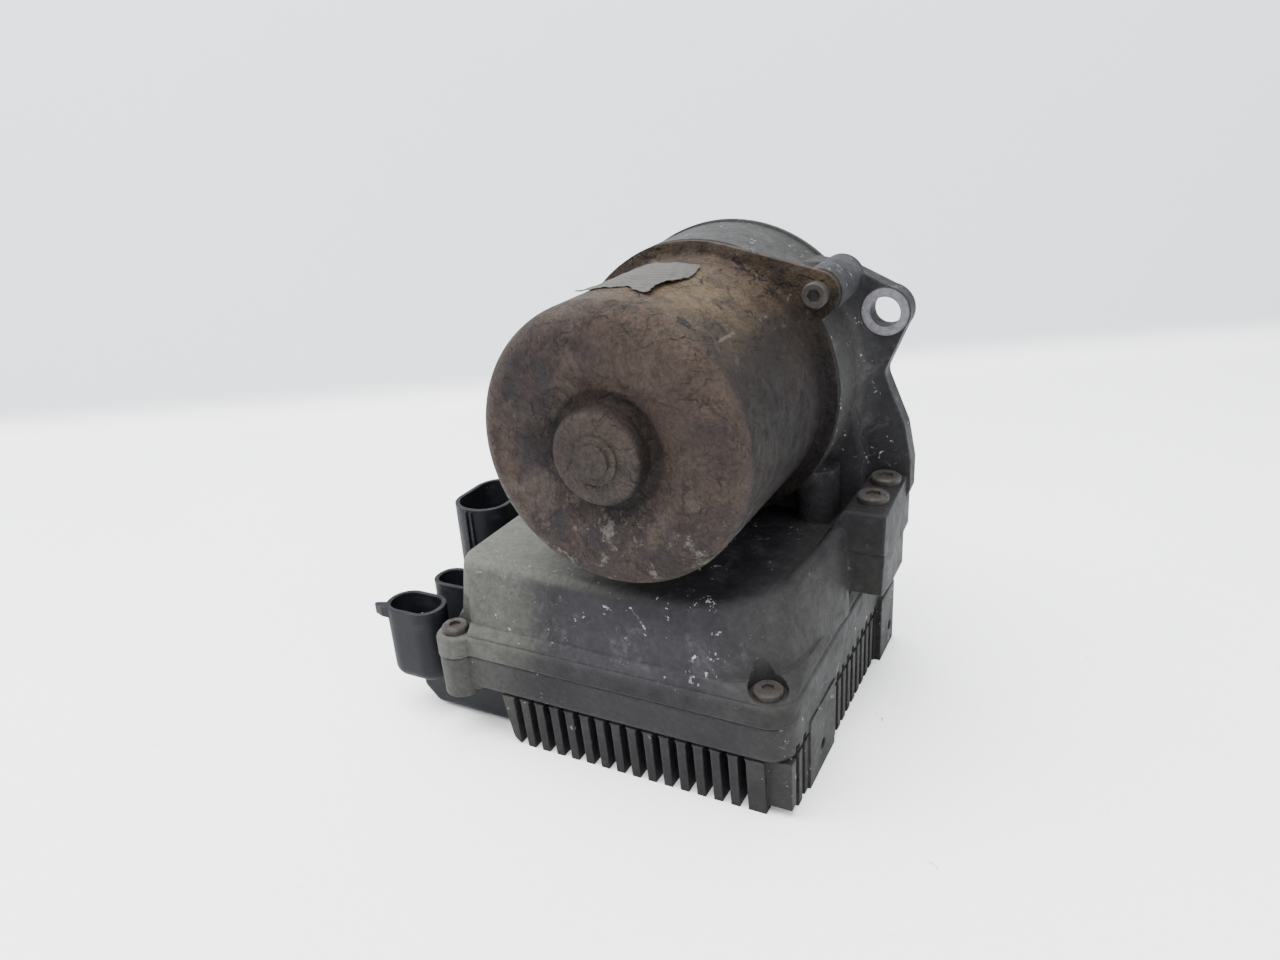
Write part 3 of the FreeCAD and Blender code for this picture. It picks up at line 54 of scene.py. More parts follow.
class Look:
    """One material, built node by node on object coordinates in metres."""

    def __init__(self, name):
        self.material = bpy.data.materials.new(name)
        self.material.use_nodes = True
        self.tree = self.material.node_tree
        self.shader = self.tree.nodes["Principled BSDF"]
        self.place = self.tree.nodes.new("ShaderNodeTexCoord").outputs["Object"]
        split = self.tree.nodes.new("ShaderNodeSeparateXYZ")
        self.link(self.place, split.inputs[0])
        self.x, self.y, self.z = split.outputs
        self.round = None

    def link(self, source, target):
        self.tree.links.new(source, target)

    def feed(self, value, target):
        """Connect a socket, or set a plain value."""
        if isinstance(value, bpy.types.NodeSocket):
            self.link(value, target)
        else:
            target.default_value = value

    def math(self, operation, a, b=0.0, clamp=False):
        node = self.tree.nodes.new("ShaderNodeMath")
        node.operation = operation
        node.use_clamp = clamp
        self.feed(a, node.inputs[0])
        self.feed(b, node.inputs[1])
        return node.outputs[0]

    def step(self, value, low, high, to_low=0.0, to_high=1.0):
        """Smooth change of a value between two limits."""
        node = self.tree.nodes.new("ShaderNodeMapRange")
        node.interpolation_type = "SMOOTHSTEP"
        self.feed(value, node.inputs["Value"])
        node.inputs["From Min"].default_value = low
        node.inputs["From Max"].default_value = high
        node.inputs["To Min"].default_value = to_low
        node.inputs["To Max"].default_value = to_high
        return node.outputs["Result"]

    def mix(self, share, a, b):
        """Blend of two colours."""
        node = self.tree.nodes.new("ShaderNodeMix")
        node.data_type = "RGBA"
        self.feed(share, node.inputs["Factor"])
        self.feed(a if isinstance(a, bpy.types.NodeSocket) else (*a, 1.0), node.inputs["A"])
        self.feed(b if isinstance(b, bpy.types.NodeSocket) else (*b, 1.0), node.inputs["B"])
        return node.outputs["Result"]

    def noise(self, size, detail=4.0, rough=0.55, warp=0.0, stretch=(1.0, 1.0, 1.0), shift=0.0):
        """Noise whose largest features are about the given size in metres."""
        node = self.tree.nodes.new("ShaderNodeTexNoise")
        mapping = self.tree.nodes.new("ShaderNodeMapping")
        mapping.inputs["Scale"].default_value = stretch
        mapping.inputs["Location"].default_value = (shift, shift * 0.7, shift * 1.3)
        self.link(self.place, mapping.inputs["Vector"])
        self.link(mapping.outputs["Vector"], node.inputs["Vector"])
        node.inputs["Scale"].default_value = 1.0 / size
        node.inputs["Detail"].default_value = detail
        node.inputs["Roughness"].default_value = rough
        node.inputs["Distortion"].default_value = warp
        return node.outputs["Fac"]

    def near(self, centre, inner, outer):
        """1 within the inner radius of a point, 0 beyond the outer one."""
        node = self.tree.nodes.new("ShaderNodeVectorMath")
        node.operation = "DISTANCE"
        self.link(self.place, node.inputs[0])
        node.inputs[1].default_value = centre
        return self.step(node.outputs["Value"], inner, outer, 1.0, 0.0)

    def axis_distance(self):
        """Distance from the motor axis."""
        squares = self.math("ADD", self.math("MULTIPLY", self.x, self.x), self.math("MULTIPLY", self.z, self.z))
        return self.math("SQRT", squares)

    def edge(self, radius, low=0.02, high=0.35):
        """1 along edges sharper than the radius, 0 on open faces; the edges are shaded round."""
        bevel = self.tree.nodes.new("ShaderNodeBevel")
        bevel.samples = 2
        bevel.inputs["Radius"].default_value = radius
        self.round = bevel.outputs["Normal"]
        geometry = self.tree.nodes.new("ShaderNodeNewGeometry")
        dot = self.tree.nodes.new("ShaderNodeVectorMath")
        dot.operation = "DOT_PRODUCT"
        self.link(bevel.outputs["Normal"], dot.inputs[0])
        self.link(geometry.outputs["Normal"], dot.inputs[1])
        return self.step(self.math("SUBTRACT", 1.0, dot.outputs["Value"]), low, high)

    def scale(self, color, value):
        """Colour made lighter or darker by a factor."""
        node = self.tree.nodes.new("ShaderNodeVectorMath")
        node.operation = "SCALE"
        self.feed(color, node.inputs[0])
        self.feed(value, node.inputs["Scale"])
        return node.outputs[0]

    def band(self, value, low, high, soft):
        """1 between two limits, fading out over a soft width beyond them."""
        return self.both(self.step(value, low - soft, low), self.step(value, high + soft, high))

    def line(self, size, width, shift=0.0, warp=0.6, stretch=(1.0, 1.0, 1.0)):
        """Thin curved lines where a noise passes its middle."""
        away = self.math("ABSOLUTE", self.math("SUBTRACT", self.noise(size, 3.0, 0.5, warp, stretch, shift), 0.5))
        return self.step(away, width, width * 0.35)

    def any_of(self, *values):
        """Largest of several masks."""
        result = values[0]
        for value in values[1:]:
            result = self.math("MAXIMUM", result, value)
        return result

    def both(self, *values):
        """Product of several masks."""
        result = values[0]
        for value in values[1:]:
            result = self.math("MULTIPLY", result, value)
        return result

    def finish(self, color, roughness, bumps=(), metallic=0.0, specular=0.5):
        """Wire the shader; bumps are pairs of height and depth in metres, largest first."""
        flat_color = isinstance(color, tuple)
        self.feed((*color, 1.0) if flat_color else color, self.shader.inputs["Base Color"])
        self.feed(roughness, self.shader.inputs["Roughness"])
        self.feed(metallic, self.shader.inputs["Metallic"])
        self.shader.inputs["Specular IOR Level"].default_value = specular
        normal = self.round
        for height, depth in bumps:
            node = self.tree.nodes.new("ShaderNodeBump")
            node.inputs["Strength"].default_value = 1.0
            node.inputs["Distance"].default_value = depth
            self.link(height, node.inputs["Height"])
            if normal is not None:
                self.link(normal, node.inputs["Normal"])
            normal = node.outputs["Normal"]
        if normal is not None:
            self.link(normal, self.shader.inputs["Normal"])
        return self.material


def rusted_can():
    """Rusted sheet steel: dark purple-brown scale, tan top, short cracks, mineral crust and painted shade in the end
    groove.
    """
    look = Look("rusted_can")
    look.edge(0.0010)
    broad = look.noise(0.040, 5.0, 0.62, 0.7)
    patch = look.noise(0.014, 6.0, 0.68, 0.6, shift=0.6)
    fine = look.noise(0.0045, 6.0, 0.70, 0.4)
    grain = look.noise(0.0011, 4.0, 0.75)
    color = look.mix(look.step(broad, 0.36, 0.64), (0.0105, 0.0074, 0.0080), (0.0275, 0.0180, 0.0138))
    color = look.mix(look.both(look.step(patch, 0.48, 0.66), 0.65), color, (0.0440, 0.0330, 0.0265))
    color = look.mix(look.both(look.step(fine, 0.50, 0.70), 0.45), color, (0.0060, 0.0042, 0.0046))
    radius = look.axis_distance()
    on_end = look.step(look.y, -0.0975, -0.1000)
    side = look.step(look.y, -0.1000, -0.0960)
    # painted shade: the right side of the can is made darker, to about a third of its colour
    right = look.both(side, look.step(look.x, 0.014, 0.032))
    color = look.scale(color, look.step(right, 0.0, 1.0, 1.0, 0.34))
    top = look.both(look.step(look.z, 0.020, 0.040), side)
    color = look.mix(look.both(top, look.step(look.noise(0.016, 6.0, 0.65, 0.4, shift=0.3), 0.38, 0.60), 0.80), color,
                     (0.0370, 0.0250, 0.0140))
    tan = look.near((0.013, -0.070, 0.044), 0.009, 0.030)
    color = look.mix(look.both(tan, look.step(look.noise(0.009, 6.0, 0.65, 0.6, shift=0.9), 0.38, 0.58), 0.85), color,
                     (0.0620, 0.0430, 0.0230))
    collar = look.step(look.y, -0.032, -0.018)
    color = look.mix(look.both(collar, look.step(patch, 0.40, 0.62), 0.6), color, (0.0330, 0.0185, 0.0100))
    under = look.both(look.step(look.z, -0.006, -0.030), look.step(look.y, -0.086, -0.096))
    crust = look.step(look.noise(0.0075, 7.0, 0.76, 0.12, shift=1.7), 0.535, 0.62)
    color = look.mix(look.both(under, crust, 0.80), color, (0.0860, 0.0770, 0.0680))
    flecks = look.step(look.noise(0.0030, 6.0, 0.78, 0.6, shift=2.2), 0.64, 0.70)
    fleck_zone = look.step(look.noise(0.02, 4.0, shift=2.4), 0.48, 0.58)
    color = look.mix(look.both(flecks, fleck_zone, 0.70), color, (0.0760, 0.0640, 0.0520))
    # painted shade: the groove in the end face is made darker
    groove = look.both(on_end, look.band(radius, 0.0152, 0.0182, 0.0022))
    color = look.scale(color, look.step(groove, 0.0, 1.0, 1.0, 0.45))
    boss = look.both(on_end, look.step(radius, 0.0150, 0.0138))
    color = look.mix(look.both(boss, look.step(patch, 0.3, 0.6), 0.55), color, (0.0290, 0.0240, 0.0200))
    rim = look.both(on_end, look.band(radius, 0.0425, 0.0455, 0.0015))
    color = look.mix(look.both(rim, look.step(fine, 0.42, 0.62), 0.45), color, (0.0400, 0.0300, 0.0220))
    where = look.any_of(look.both(look.step(look.z, 0.018, 0.036), side), look.both(on_end, 0.55))
    zone = look.both(look.step(look.noise(0.016, 3.0, shift=4.1), 0.53, 0.59), where)
    crack = look.both(look.line(0.0105, 0.013, 0.7, 0.7), zone, look.step(radius, 0.019, 0.024))
    color = look.mix(look.both(crack, 0.9), color, (0.0020, 0.0015, 0.0014))
    red = look.any_of(look.near((0.0127, -0.0985, 0.0432), 0.0004, 0.0011),
                      look.near((0.0199, -0.0995, 0.0403), 0.0003, 0.0009))
    color = look.mix(look.both(red, 0.7), color, (0.060, 0.010, 0.006))
    wave = look.noise(0.05, 2.0, shift=8.0, stretch=(1.0, 0.2, 1.0))
    # a thin pale line on the top of the can: partly a real scratch, partly a painted highlight along it
    scratch_with_painted_highlight = look.both(look.band(wave, 0.498, 0.502, 0.004), top, look.step(look.noise(0.01, shift=9.0), 0.56, 0.62))
    color = look.mix(look.both(scratch_with_painted_highlight, 0.6), color, (0.110, 0.100, 0.085))
    color = look.scale(color, look.step(grain, 0.28, 0.72, 0.62, 1.40))
    terrace = look.step(look.noise(0.011, 3.0, 0.5, 0.4, shift=5.3), 0.485, 0.515)
    rough = look.step(fine, 0.3, 0.8, 0.62, 0.88)
    bumps = ((look.noise(0.020, 2.0, 0.5), 0.0036), (look.both(terrace, 1.0), 0.00055), (patch, 0.0022), (fine, 0.0013),
             (look.math("SUBTRACT", 1.0, crack), 0.0006), (grain, 0.00022))
    return look.finish(color, rough, bumps, 0.0, 0.16)


def chalk(look, size, shift):
    """Irregular chalky corrosion, in small clusters."""
    ragged = look.step(look.noise(size, 6.0, 0.78, 0.08, shift=shift), 0.600, 0.645)
    return look.both(ragged, look.step(look.noise(size * 3.0, 3.0, 0.6, shift=shift + 1.1), 0.52, 0.60))


def cast_cover():
    """Weathered die casting: dark blue-grey in the middle, olive-grey to the sides, chalk specks below the can."""
    look = Look("cast_aluminium")
    edge = look.edge(0.0012)
    broad = look.noise(0.045, 5.0, 0.6, 0.5)
    mid = look.noise(0.010, 6.0, 0.68, 0.3, shift=0.8)
    fine = look.noise(0.0021, 5.0, 0.72)
    streak = look.noise(0.010, 5.0, 0.6, 0.2, (0.25, 0.6, 1.0), 2.0)
    dark, light, olive = (0.0072, 0.0067, 0.0086), (0.0165, 0.0158, 0.0184), (0.0460, 0.0460, 0.0405)
    color = look.mix(look.step(broad, 0.36, 0.66), dark, light)
    color = look.mix(look.both(look.step(streak, 0.46, 0.64), 0.5), color, light)
    front = look.step(look.y, -0.020, -0.040)
    level = look.math("ADD", look.x, look.math("MULTIPLY", look.math("SUBTRACT", broad, 0.5), 0.035))
    left = look.step(level, -0.026, -0.052)
    color = look.mix(look.both(left, front, look.step(mid, 0.25, 0.5, 0.70, 0.98)), color, olive)
    right = look.both(look.step(level, 0.030, 0.052), look.step(look.z, -0.040, -0.052))
    vertical = look.noise(0.006, 5.0, 0.6, 0.2, (1.0, 1.0, 0.22), 3.0)
    color = look.mix(look.both(right, look.step(vertical, 0.30, 0.62, 0.35, 0.75)), color, (0.0200, 0.0200, 0.0176))
    # painted light: the left front of the roof is made lighter, stopping short of where the can's shadow falls
    roof_painted_light = look.both(look.step(look.z, -0.0545, -0.0505), look.step(look.x, 0.020, -0.030), front)
    color = look.mix(look.both(roof_painted_light, 0.8), color, (0.0640, 0.0640, 0.0560))
    flange = look.both(look.step(look.z, -0.0765, -0.0800), look.step(level, -0.060, -0.030), front)
    color = look.scale(color, look.step(flange, 0.0, 1.0, 1.0, 0.55))
    # painted shade: the pillar's front faces are made darker
    pillar_painted_shade = look.both(look.step(look.x, 0.040, 0.048), look.step(look.z, -0.055, -0.045),
                       look.step(look.y, -0.0135, -0.0160))
    color = look.scale(color, look.step(pillar_painted_shade, 0.0, 1.0, 1.0, 0.75))
    wall = look.both(look.step(look.x, 0.052, 0.060), look.step(look.y, -0.060, -0.040))
    color = look.scale(color, look.step(wall, 0.0, 1.0, 1.0, 0.72))
    # painted shadow: the bracket plate under the can is made dark
    plate_painted_shadow = look.both(look.step(look.y, -0.0125, -0.0095), look.step(look.z, -0.060, -0.052),
                      look.step(look.y, 0.0045, 0.0015))
    color = look.mix(look.both(plate_painted_shadow, 0.85), color, (0.0100, 0.0100, 0.0112))
    ring = look.both(look.step(look.axis_distance(), 0.0535, 0.0515), look.step(look.z, -0.046, -0.040))
    color = look.mix(look.both(ring, look.step(mid, 0.25, 0.5, 0.60, 0.9)), color, (0.0205, 0.0202, 0.0190))
    across = look.math("POWER", look.math("SUBTRACT", look.x, EAR_HOLE[0]), 2.0)
    upward = look.math("POWER", look.math("SUBTRACT", look.z, EAR_HOLE[1]), 2.0)
    ear = look.math("SQRT", look.math("ADD", across, upward))
    seat = look.both(look.step(ear, 0.0084, 0.0080), look.step(look.y, -0.0070, -0.0078))
    color = look.mix(look.both(seat, look.step(mid, 0.2, 0.5, 0.75, 1.0)), color, (0.1150, 0.1120, 0.1260))
    color = look.mix(look.both(edge, look.step(mid, 0.35, 0.6), 0.5), color, (0.0820, 0.0800, 0.0780))
    shade = look.both(look.band(look.z, -0.072, -0.047, 0.006), look.band(look.x, -0.050, 0.034, 0.014), front)
    on_plate = look.both(look.step(look.z, -0.040, -0.030), look.step(look.y, 0.004, 0.000), 0.8)
    where = look.any_of(shade, on_plate, 0.22)
    specks = look.any_of(chalk(look, 0.0052, 3.1), look.both(chalk(look, 0.0026, 5.2), 0.8))
    specks = look.step(look.both(specks, where), 0.12, 0.50)
    haze = look.both(look.step(look.noise(0.012, 6.0, 0.75, 0.6, shift=3.4), 0.52, 0.66), where)
    color = look.mix(look.both(haze, 0.30), color, (0.0700, 0.0700, 0.0720))
    color = look.mix(look.both(specks, 0.88), color, (0.3000, 0.3050, 0.3150))
    color = look.scale(color, look.step(fine, 0.28, 0.72, 0.74, 1.26))
    rough = look.step(mid, 0.3, 0.75, 0.58, 0.80)
    bumps = ((mid, 0.0005), (fine, 0.00025), (specks, 0.00020))
    return look.finish(color, rough, bumps, 0.0, 0.18)


def cast_base():
    """Darker finned casting: blue-grey front, olive left end, light worn edges and chalk between the fins."""
    look = Look("base_aluminium")
    edge = look.edge(0.0011)
    broad = look.noise(0.05, 5.0, 0.6, 0.5)
    mid = look.noise(0.009, 6.0, 0.68, 0.3, shift=0.8)
    fine = look.noise(0.0020, 5.0, 0.72)
    color = look.mix(look.step(broad, 0.36, 0.66), (0.0042, 0.0038, 0.0050), (0.0092, 0.0086, 0.0102))
    color = look.mix(look.both(look.step(mid, 0.46, 0.70), 0.45), color, (0.0190, 0.0184, 0.0198))
    level = look.math("ADD", look.x, look.math("MULTIPLY", look.math("SUBTRACT", broad, 0.5), 0.03))
    color = look.mix(look.both(look.step(level, -0.034, -0.060), 0.85), color, (0.0300, 0.0300, 0.0265))
    right = look.both(look.step(level, 0.040, 0.056), look.step(mid, 0.28, 0.58, 0.25, 0.85))
    color = look.mix(right, color, (0.0170, 0.0170, 0.0152))
    color = look.mix(look.both(edge, look.step(mid, 0.35, 0.62), 0.55), color, (0.0750, 0.0730, 0.0720))
    low = look.step(look.z, -0.100, -0.110)
    color = look.scale(color, look.step(low, 0.0, 1.0, 1.0, 0.80))
    specks = look.any_of(chalk(look, 0.0042, 3.3), look.both(chalk(look, 0.0022, 5.6), 0.8))
    ends = look.any_of(look.step(look.x, 0.00, -0.05), look.step(look.x, 0.035, 0.055), 0.35)
    specks = look.step(look.both(specks, ends), 0.2, 0.55)
    color = look.mix(look.both(specks, 0.85), color, (0.2700, 0.2760, 0.2850))
    color = look.scale(color, look.step(fine, 0.28, 0.72, 0.74, 1.26))
    rough = look.step(mid, 0.3, 0.75, 0.58, 0.80)
    return look.finish(color, rough, ((mid, 0.0005), (fine, 0.00025), (specks, 0.00018)), 0.0, 0.18)


def moulded(name, color, light, rough_low, rough_high):
    """Moulded plastic with handling marks, dust and lighter worn rims."""
    look = Look(name)
    worn = look.both(look.edge(0.0008), look.step(look.noise(0.006, shift=1.0), 0.4, 0.6))
    mid = look.noise(0.016, 5.0, 0.62, 0.4)
    fine = look.noise(0.0011, 3.0, 0.6)
    shade = look.mix(look.step(mid, 0.4, 0.72), color, light)
    wipe = look.noise(0.006, 5.0, 0.6, 0.2, (0.25, 1.0, 1.0), 1.5)
    shade = look.mix(look.both(look.step(wipe, 0.54, 0.70), 0.5), shade, (0.0200, 0.0210, 0.0240))
    shade = look.mix(look.both(worn, 0.5), shade, (0.0620, 0.0640, 0.0700))
    dust = look.both(look.step(look.noise(0.0028, 6.0, 0.78, 0.5, shift=4.0), 0.64, 0.70),
                     look.step(look.noise(0.02, shift=2.0), 0.5, 0.62))
    shade = look.mix(look.both(dust, 0.6), shade, (0.1300, 0.1300, 0.1300))
    rough = look.step(mid, 0.3, 0.8, rough_low, rough_high)
    return look.finish(shade, rough, ((mid, 0.0002), (wipe, 0.00005), (fine, 0.00006)), 0.0, 0.14)


def metal(name, color, stain, rough_low, rough_high, stained=0.5, grain=0.0012):
    """Bare or plated metal with stains that follow a noise."""
    look = Look(name)
    look.edge(0.0003)
    mid = look.noise(0.008, 5.0, 0.65, 0.3)
    fine = look.noise(grain, 3.0, 0.6)
    shade = look.mix(look.both(look.step(mid, 0.42, 0.66), stained), color, stain)
    shade = look.scale(shade, look.step(fine, 0.3, 0.7, 0.88, 1.12))
    rough = look.step(mid, 0.3, 0.75, rough_low, rough_high)
    return look.finish(shade, rough, ((mid, 0.00012), (fine, 0.00004)), 0.85, 0.5)


def screw_heads():
    """Dull grey-brown screws, rust in the recesses and a worn paler rim."""
    look = Look("screw_steel")
    worn = look.edge(0.0005)
    mid = look.noise(0.0032, 6.0, 0.70, 0.4)
    fine = look.noise(0.0008, 4.0, 0.7)
    shade = look.mix(look.step(mid, 0.40, 0.64), (0.0240, 0.0225, 0.0215), (0.0165, 0.0115, 0.0085))
    rust = look.step(look.noise(0.0022, 5.0, 0.7, shift=3.0), 0.56, 0.66)
    shade = look.mix(look.both(rust, 0.6), shade, (0.0350, 0.0220, 0.0130))
    shade = look.mix(look.both(worn, look.step(mid, 0.35, 0.55), 0.55), shade, (0.0700, 0.0660, 0.0620))
    shade = look.scale(shade, look.step(fine, 0.28, 0.72, 0.75, 1.25))
    return look.finish(shade, look.step(mid, 0.3, 0.7, 0.55, 0.8), ((mid, 0.0002), (fine, 0.00008)), 0.15, 0.3)


def machined(name, color):
    """Turned face with fine rings about the motor axis."""
    look = Look(name)
    ring = look.math("SINE", look.math("MULTIPLY", look.axis_distance(), 16000.0))
    mid = look.noise(0.01, 5.0, 0.6)
    shade = look.mix(look.step(mid, 0.4, 0.7), color, tuple(0.6 * c for c in color))
    rough = look.step(mid, 0.3, 0.75, 0.28, 0.45)
    return look.finish(shade, rough, ((ring, 0.00002), (mid, 0.00008)), 0.9, 0.5)


def plain_soft(name, color, light, rough=0.7):
    """Rubber, film, enamel or resin with a fine mottled surface."""
    look = Look(name)
    mid = look.noise(0.006, 5.0, 0.6)
    fine = look.noise(0.0008, 3.0, 0.6)
    shade = look.mix(look.step(mid, 0.35, 0.7), color, light)
    rough = look.step(mid, 0.3, 0.7, rough - 0.12, rough + 0.1)
    return look.finish(shade, rough, ((mid, 0.0001), (fine, 0.00005)), 0.0, 0.4)


def label_film():
    """Weathered blank label: silver-grey film with rust stains and dull creases."""
    look = Look("label_film")
    mid = look.noise(0.008, 6.0, 0.70, 0.4)
    shade = look.mix(look.step(mid, 0.36, 0.60), (0.0240, 0.0195, 0.0140), (0.0455, 0.0420, 0.0365))
    stain = look.step(look.noise(0.006, 6.0, 0.72, 0.5, shift=1.2), 0.53, 0.66)
    shade = look.mix(look.both(stain, 0.75), shade, (0.0230, 0.0170, 0.0120))
    crease = look.line(0.012, 0.012, 2.0, 0.8)
    shade = look.mix(look.both(crease, 0.45), shade, (0.0120, 0.0095, 0.0080))
    grain = look.noise(0.0009, 4.0, 0.7)
    shade = look.scale(shade, look.step(grain, 0.28, 0.72, 0.84, 1.16))
    rough = look.step(mid, 0.3, 0.7, 0.45, 0.7)
    return look.finish(shade, rough, ((mid, 0.0005), (crease, 0.0002), (grain, 0.00008)), 0.0, 0.25)


looks = {
    "cast_aluminium": cast_cover(),
    "base_aluminium": cast_base(),
    "rusty_steel": rusted_can(),
    "connector_plastic": moulded("connector_plastic", (0.0042, 0.0048, 0.0068), (0.0078, 0.0086, 0.0112), 0.48, 0.66),
    "contact_metal": metal("contact_metal", (0.40, 0.38, 0.32), (0.20, 0.17, 0.13), 0.25, 0.4),
    "rubber_seal": plain_soft("rubber_seal", (0.009, 0.009, 0.009), (0.020, 0.020, 0.021)),
    "screw_steel": screw_heads(),
    "bearing_steel": metal("bearing_steel", (0.38, 0.39, 0.41), (0.26, 0.26, 0.27), 0.16, 0.3),
    "shaft_steel": machined("shaft_steel", (0.27, 0.265, 0.26)),
    "lamination_steel": metal("lamination_steel", (0.15, 0.15, 0.165), (0.08, 0.075, 0.075), 0.35, 0.5),
    "winding_copper": metal("winding_copper", (0.36, 0.145, 0.058), (0.24, 0.085, 0.036), 0.25, 0.4),
    "insulator_plastic": plain_soft("insulator_plastic", (0.27, 0.25, 0.19), (0.32, 0.30, 0.23), 0.5),
    "magnet_grey": plain_soft("magnet_grey", (0.035, 0.035, 0.038), (0.06, 0.06, 0.065), 0.4),
    "module_aluminium": metal("module_aluminium", (0.42, 0.43, 0.44), (0.30, 0.30, 0.31), 0.3, 0.45),
    "board_green": plain_soft("board_green", (0.007, 0.042, 0.018), (0.012, 0.060, 0.027), 0.35),
    "component_black": plain_soft("component_black", (0.009, 0.009, 0.010), (0.018, 0.018, 0.020), 0.5),
    "capacitor_metal": metal("capacitor_metal", (0.38, 0.39, 0.41), (0.27, 0.27, 0.29), 0.25, 0.4),
    "spider_rubber": plain_soft("spider_rubber", (0.018, 0.018, 0.021), (0.036, 0.036, 0.039), 0.55),
    "label_paper": label_film(),
}
for entry in frame["record"]["subparts"]:
    node = NODES[entry["node"]]
    node.data.materials.clear()
    node.data.materials.append(looks[entry["material_slot"]])


def stage():
    """Pale floor with a tight fold up into a slightly greyer wall close behind the object."""
    fold, radius = 0.345, 0.014
    half_width, wall_height = 2.6, 2.2
    profile = [(-1.8, 0.0), (fold - radius, 0.0)]
    for index in range(1, 9):
        angle = math.radians(index * 11.25)
        profile.append((fold - radius + radius * math.sin(angle), radius * (1 - math.cos(angle))))
    profile.append((fold, wall_height))
    ahead = Vector((-0.4939, 0.8695, 0.0)).normalized()
    side = Vector((ahead.y, -ahead.x, 0.0))
    verts = []
    for along, height in profile:
        for across in (-half_width, half_width):
            point = ahead * along + side * across
            verts.append((point.x, point.y, FLOOR_Z + height))
    faces = [(2 * k, 2 * k + 1, 2 * k + 3, 2 * k + 2) for k in range(len(profile) - 1)]
    mesh = bpy.data.meshes.new("studio_floor")
    mesh.from_pydata(verts, [], faces)
    for polygon in mesh.polygons:
        polygon.use_smooth = True
    floor = bpy.data.objects.new("studio_floor", mesh)
    bpy.context.scene.collection.objects.link(floor)
    look = Look("studio_floor")
    soft = look.noise(0.25, 2.0, 0.55)
    shade = look.mix(look.step(soft, 0.3, 0.7), (0.86, 0.865, 0.875), (0.89, 0.893, 0.90))
    fibre = look.noise(0.0025, 2.0, 0.65)
    shade = look.scale(shade, look.step(fibre, 0.3, 0.7, 0.985, 1.015))
    shade = look.mix(look.step(look.z, -0.112, -0.095), shade, (0.60, 0.625, 0.655))
    crumbs = look.both(look.step(look.noise(0.0040, 3.0, 0.7, 0.6, shift=6.0), 0.715, 0.750),
                       look.step(look.noise(0.05, 1.0, shift=7.7), 0.52, 0.60))
    shade = look.mix(look.both(crumbs, 0.75), shade, (0.16, 0.15, 0.14))
    mesh.materials.append(look.finish(shade, 0.8, (), 0.0, 0.15))


def label_scrap():
    """Torn film on top of the can: ragged, curled up at its right edge and its left tip."""
    dice = random.Random(11)
    columns, rows, thick = 56, 64, 0.00013
    # angle round the can in degrees, then the film's two ends along it in millimetres
    starts = ((77.0, -87.6, -50.0), (79.5, -88.0, -47.6), (83.0, -86.4, -46.8), (88.3, -83.2, -47.4),
              (93.0, -83.8, -48.0), (98.0, -84.2, -45.5), (103.0, -82.6, -43.5), (108.0, -82.2, -43.0),
              (112.5, -81.0, -47.5), (116.5, -77.5, -56.0))
    jag_low = [dice.uniform(-1.0, 1.0) for _ in range(columns)]
    jag_high = [dice.uniform(-1.0, 1.0) for _ in range(columns)]
    jag_side = [dice.uniform(-0.25, 0.25) for _ in range(rows)]
    upper, lower = [], []
    for column in range(columns):
        share = column / (columns - 1)
        angle = 77.0 + 39.5 * share
        for (a0, low0, high0), (a1, low1, high1) in zip(starts, starts[1:]):
            if angle <= a1 or a1 == starts[-1][0]:
                part = min(1.0, (angle - a0) / (a1 - a0))
                low, high = low0 + (low1 - low0) * part, high0 + (high1 - high0) * part
                break
        low += 0.22 * jag_low[column] + 0.35 * math.sin(column * 0.45)
        high += 0.25 * jag_high[column] + 0.7 * math.sin(column * 0.37 + 1.0)
        for row in range(rows):
            along = row / (rows - 1)
            y = low + (high - low) * along
            turn = angle + jag_side[row] * (1.0 - share) ** 3 + 1.6 * math.sin(along * 7.0) * (1.0 - share) ** 2
            near_right = max(0.0, (83.5 - angle) / 6.5)
            near_left = max(0.0, (angle - 106.0) / 10.5) * max(0.0, 1.0 - along * 2.2)
            lift = 0.22 + 1.15 * near_right ** 2 * (0.55 + 0.45 * math.sin(along * 5.2 + 0.6)) + 1.5 * near_left ** 1.5
            lift += 0.10 * math.sin(y * 1.7 + turn * 0.5) + 0.07 * math.sin(turn * 1.3 - y * 0.6) + 0.10
            radius = 0.001 * (CAN_RADIUS_MM + lift)
            for height, target in ((radius + thick, upper), (radius, lower)):
                target.append((height * math.cos(math.radians(turn)), y * 0.001, height * math.sin(math.radians(turn))))
    count = len(upper)
    faces = []
    for column in range(columns - 1):
        for row in range(rows - 1):
            a = column * rows + row
            b, c, d = a + 1, a + rows + 1, a + rows
            faces.append((a, b, c, d))
            faces.append((count + a, count + d, count + c, count + b))
    rim = [row for row in range(rows)] + [column * rows + rows - 1 for column in range(1, columns)]
    rim += [(columns - 1) * rows + row for row in range(rows - 2, -1, -1)]
    rim += [column * rows for column in range(columns - 2, 0, -1)]
    for a, b in zip(rim, rim[1:] + rim[:1]):
        faces.append((b, a, count + a, count + b))
    mesh = bpy.data.meshes.new("label_scrap")
    mesh.from_pydata(upper + lower, [], faces)
    mesh.update()
    for polygon in mesh.polygons:
        polygon.use_smooth = True
    mesh.materials.append(looks["label_paper"])
    piece = bpy.data.objects.new("label_scrap", mesh)
    bpy.context.scene.collection.objects.link(piece)
    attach(piece, "housing")
    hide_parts("label_remnant")


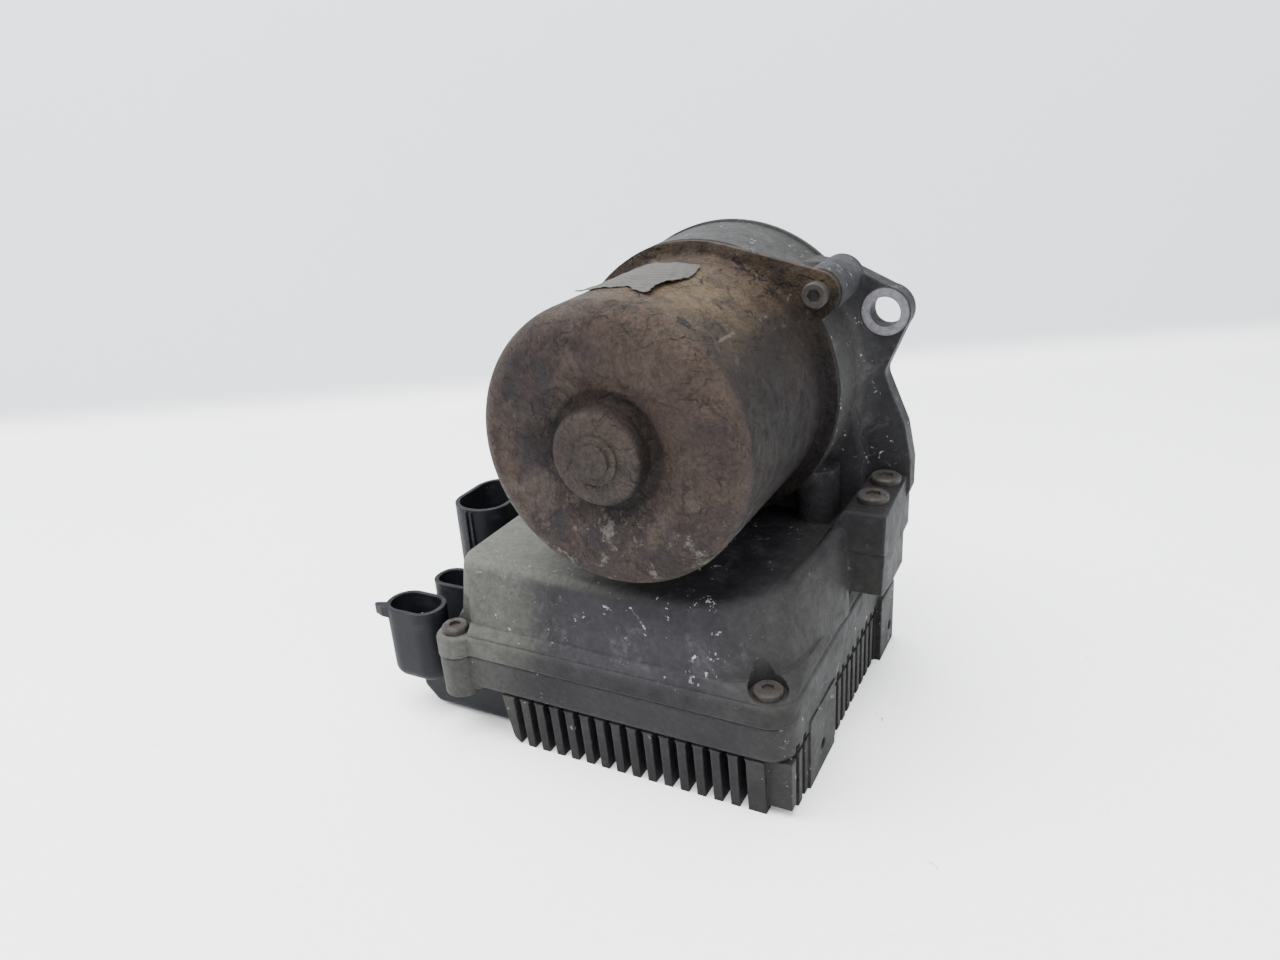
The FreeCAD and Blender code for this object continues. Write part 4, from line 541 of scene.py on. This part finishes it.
def lamp(name, spot, target, size, power, color=(1.0, 1.0, 1.0)):
    """Soft square light aimed at a point."""
    data = bpy.data.lights.new(name, "AREA")
    data.shape = "SQUARE"
    data.size = size
    data.energy = power
    data.color = color
    light = bpy.data.objects.new(name, data)
    light.location = spot
    light.rotation_euler = (Vector(target) - Vector(spot)).to_track_quat("-Z", "Y").to_euler()
    bpy.context.scene.collection.objects.link(light)


def camera():
    """Camera at the photograph's place and angle."""
    flat = math.cos(CAMERA_PITCH)
    forward = Vector((math.sin(CAMERA_YAW) * flat, math.cos(CAMERA_YAW) * flat, -math.sin(CAMERA_PITCH)))
    level = Vector((math.cos(CAMERA_YAW), -math.sin(CAMERA_YAW), 0.0))
    down = forward.cross(level)
    right = level * math.cos(CAMERA_ROLL) + down * math.sin(CAMERA_ROLL)
    down = down * math.cos(CAMERA_ROLL) - level * math.sin(CAMERA_ROLL)
    data = bpy.data.cameras.new("photo_camera")
    data.sensor_width = SENSOR_MM
    data.lens = FOCAL_PIXELS / IMAGE_WIDTH * SENSOR_MM
    data.clip_start = 0.01
    view = bpy.data.objects.new("photo_camera", data)
    rows = Matrix((right, -down, -forward)).transposed().to_4x4()
    rows.translation = Vector(CAMERA_PLACE)
    view.matrix_world = rows
    bpy.context.scene.collection.objects.link(view)
    bpy.context.scene.camera = view


stage()
camera()
label_scrap()
lamp("top_light", (-0.10, -0.35, 1.20), LAMP_TARGET, 1.2, 62.0, (1.0, 0.995, 0.985))
lamp("left_light", (-0.95, -0.35, 0.75), LAMP_TARGET, 0.9, 18.0, (1.0, 0.99, 0.97))
lamp("right_light", (1.00, -0.20, 0.60), LAMP_TARGET, 0.9, 11.0, (0.97, 0.98, 1.0))
lamp("front_light", (0.35, -1.10, 0.55), LAMP_TARGET, 0.8, 5.0, (0.97, 0.98, 1.0))
world = bpy.data.worlds.new("studio_air")
world.use_nodes = True
world.node_tree.nodes["Background"].inputs["Color"].default_value = (0.82, 0.85, 0.89, 1.0)
world.node_tree.nodes["Background"].inputs["Strength"].default_value = 0.70
bpy.context.scene.world = world
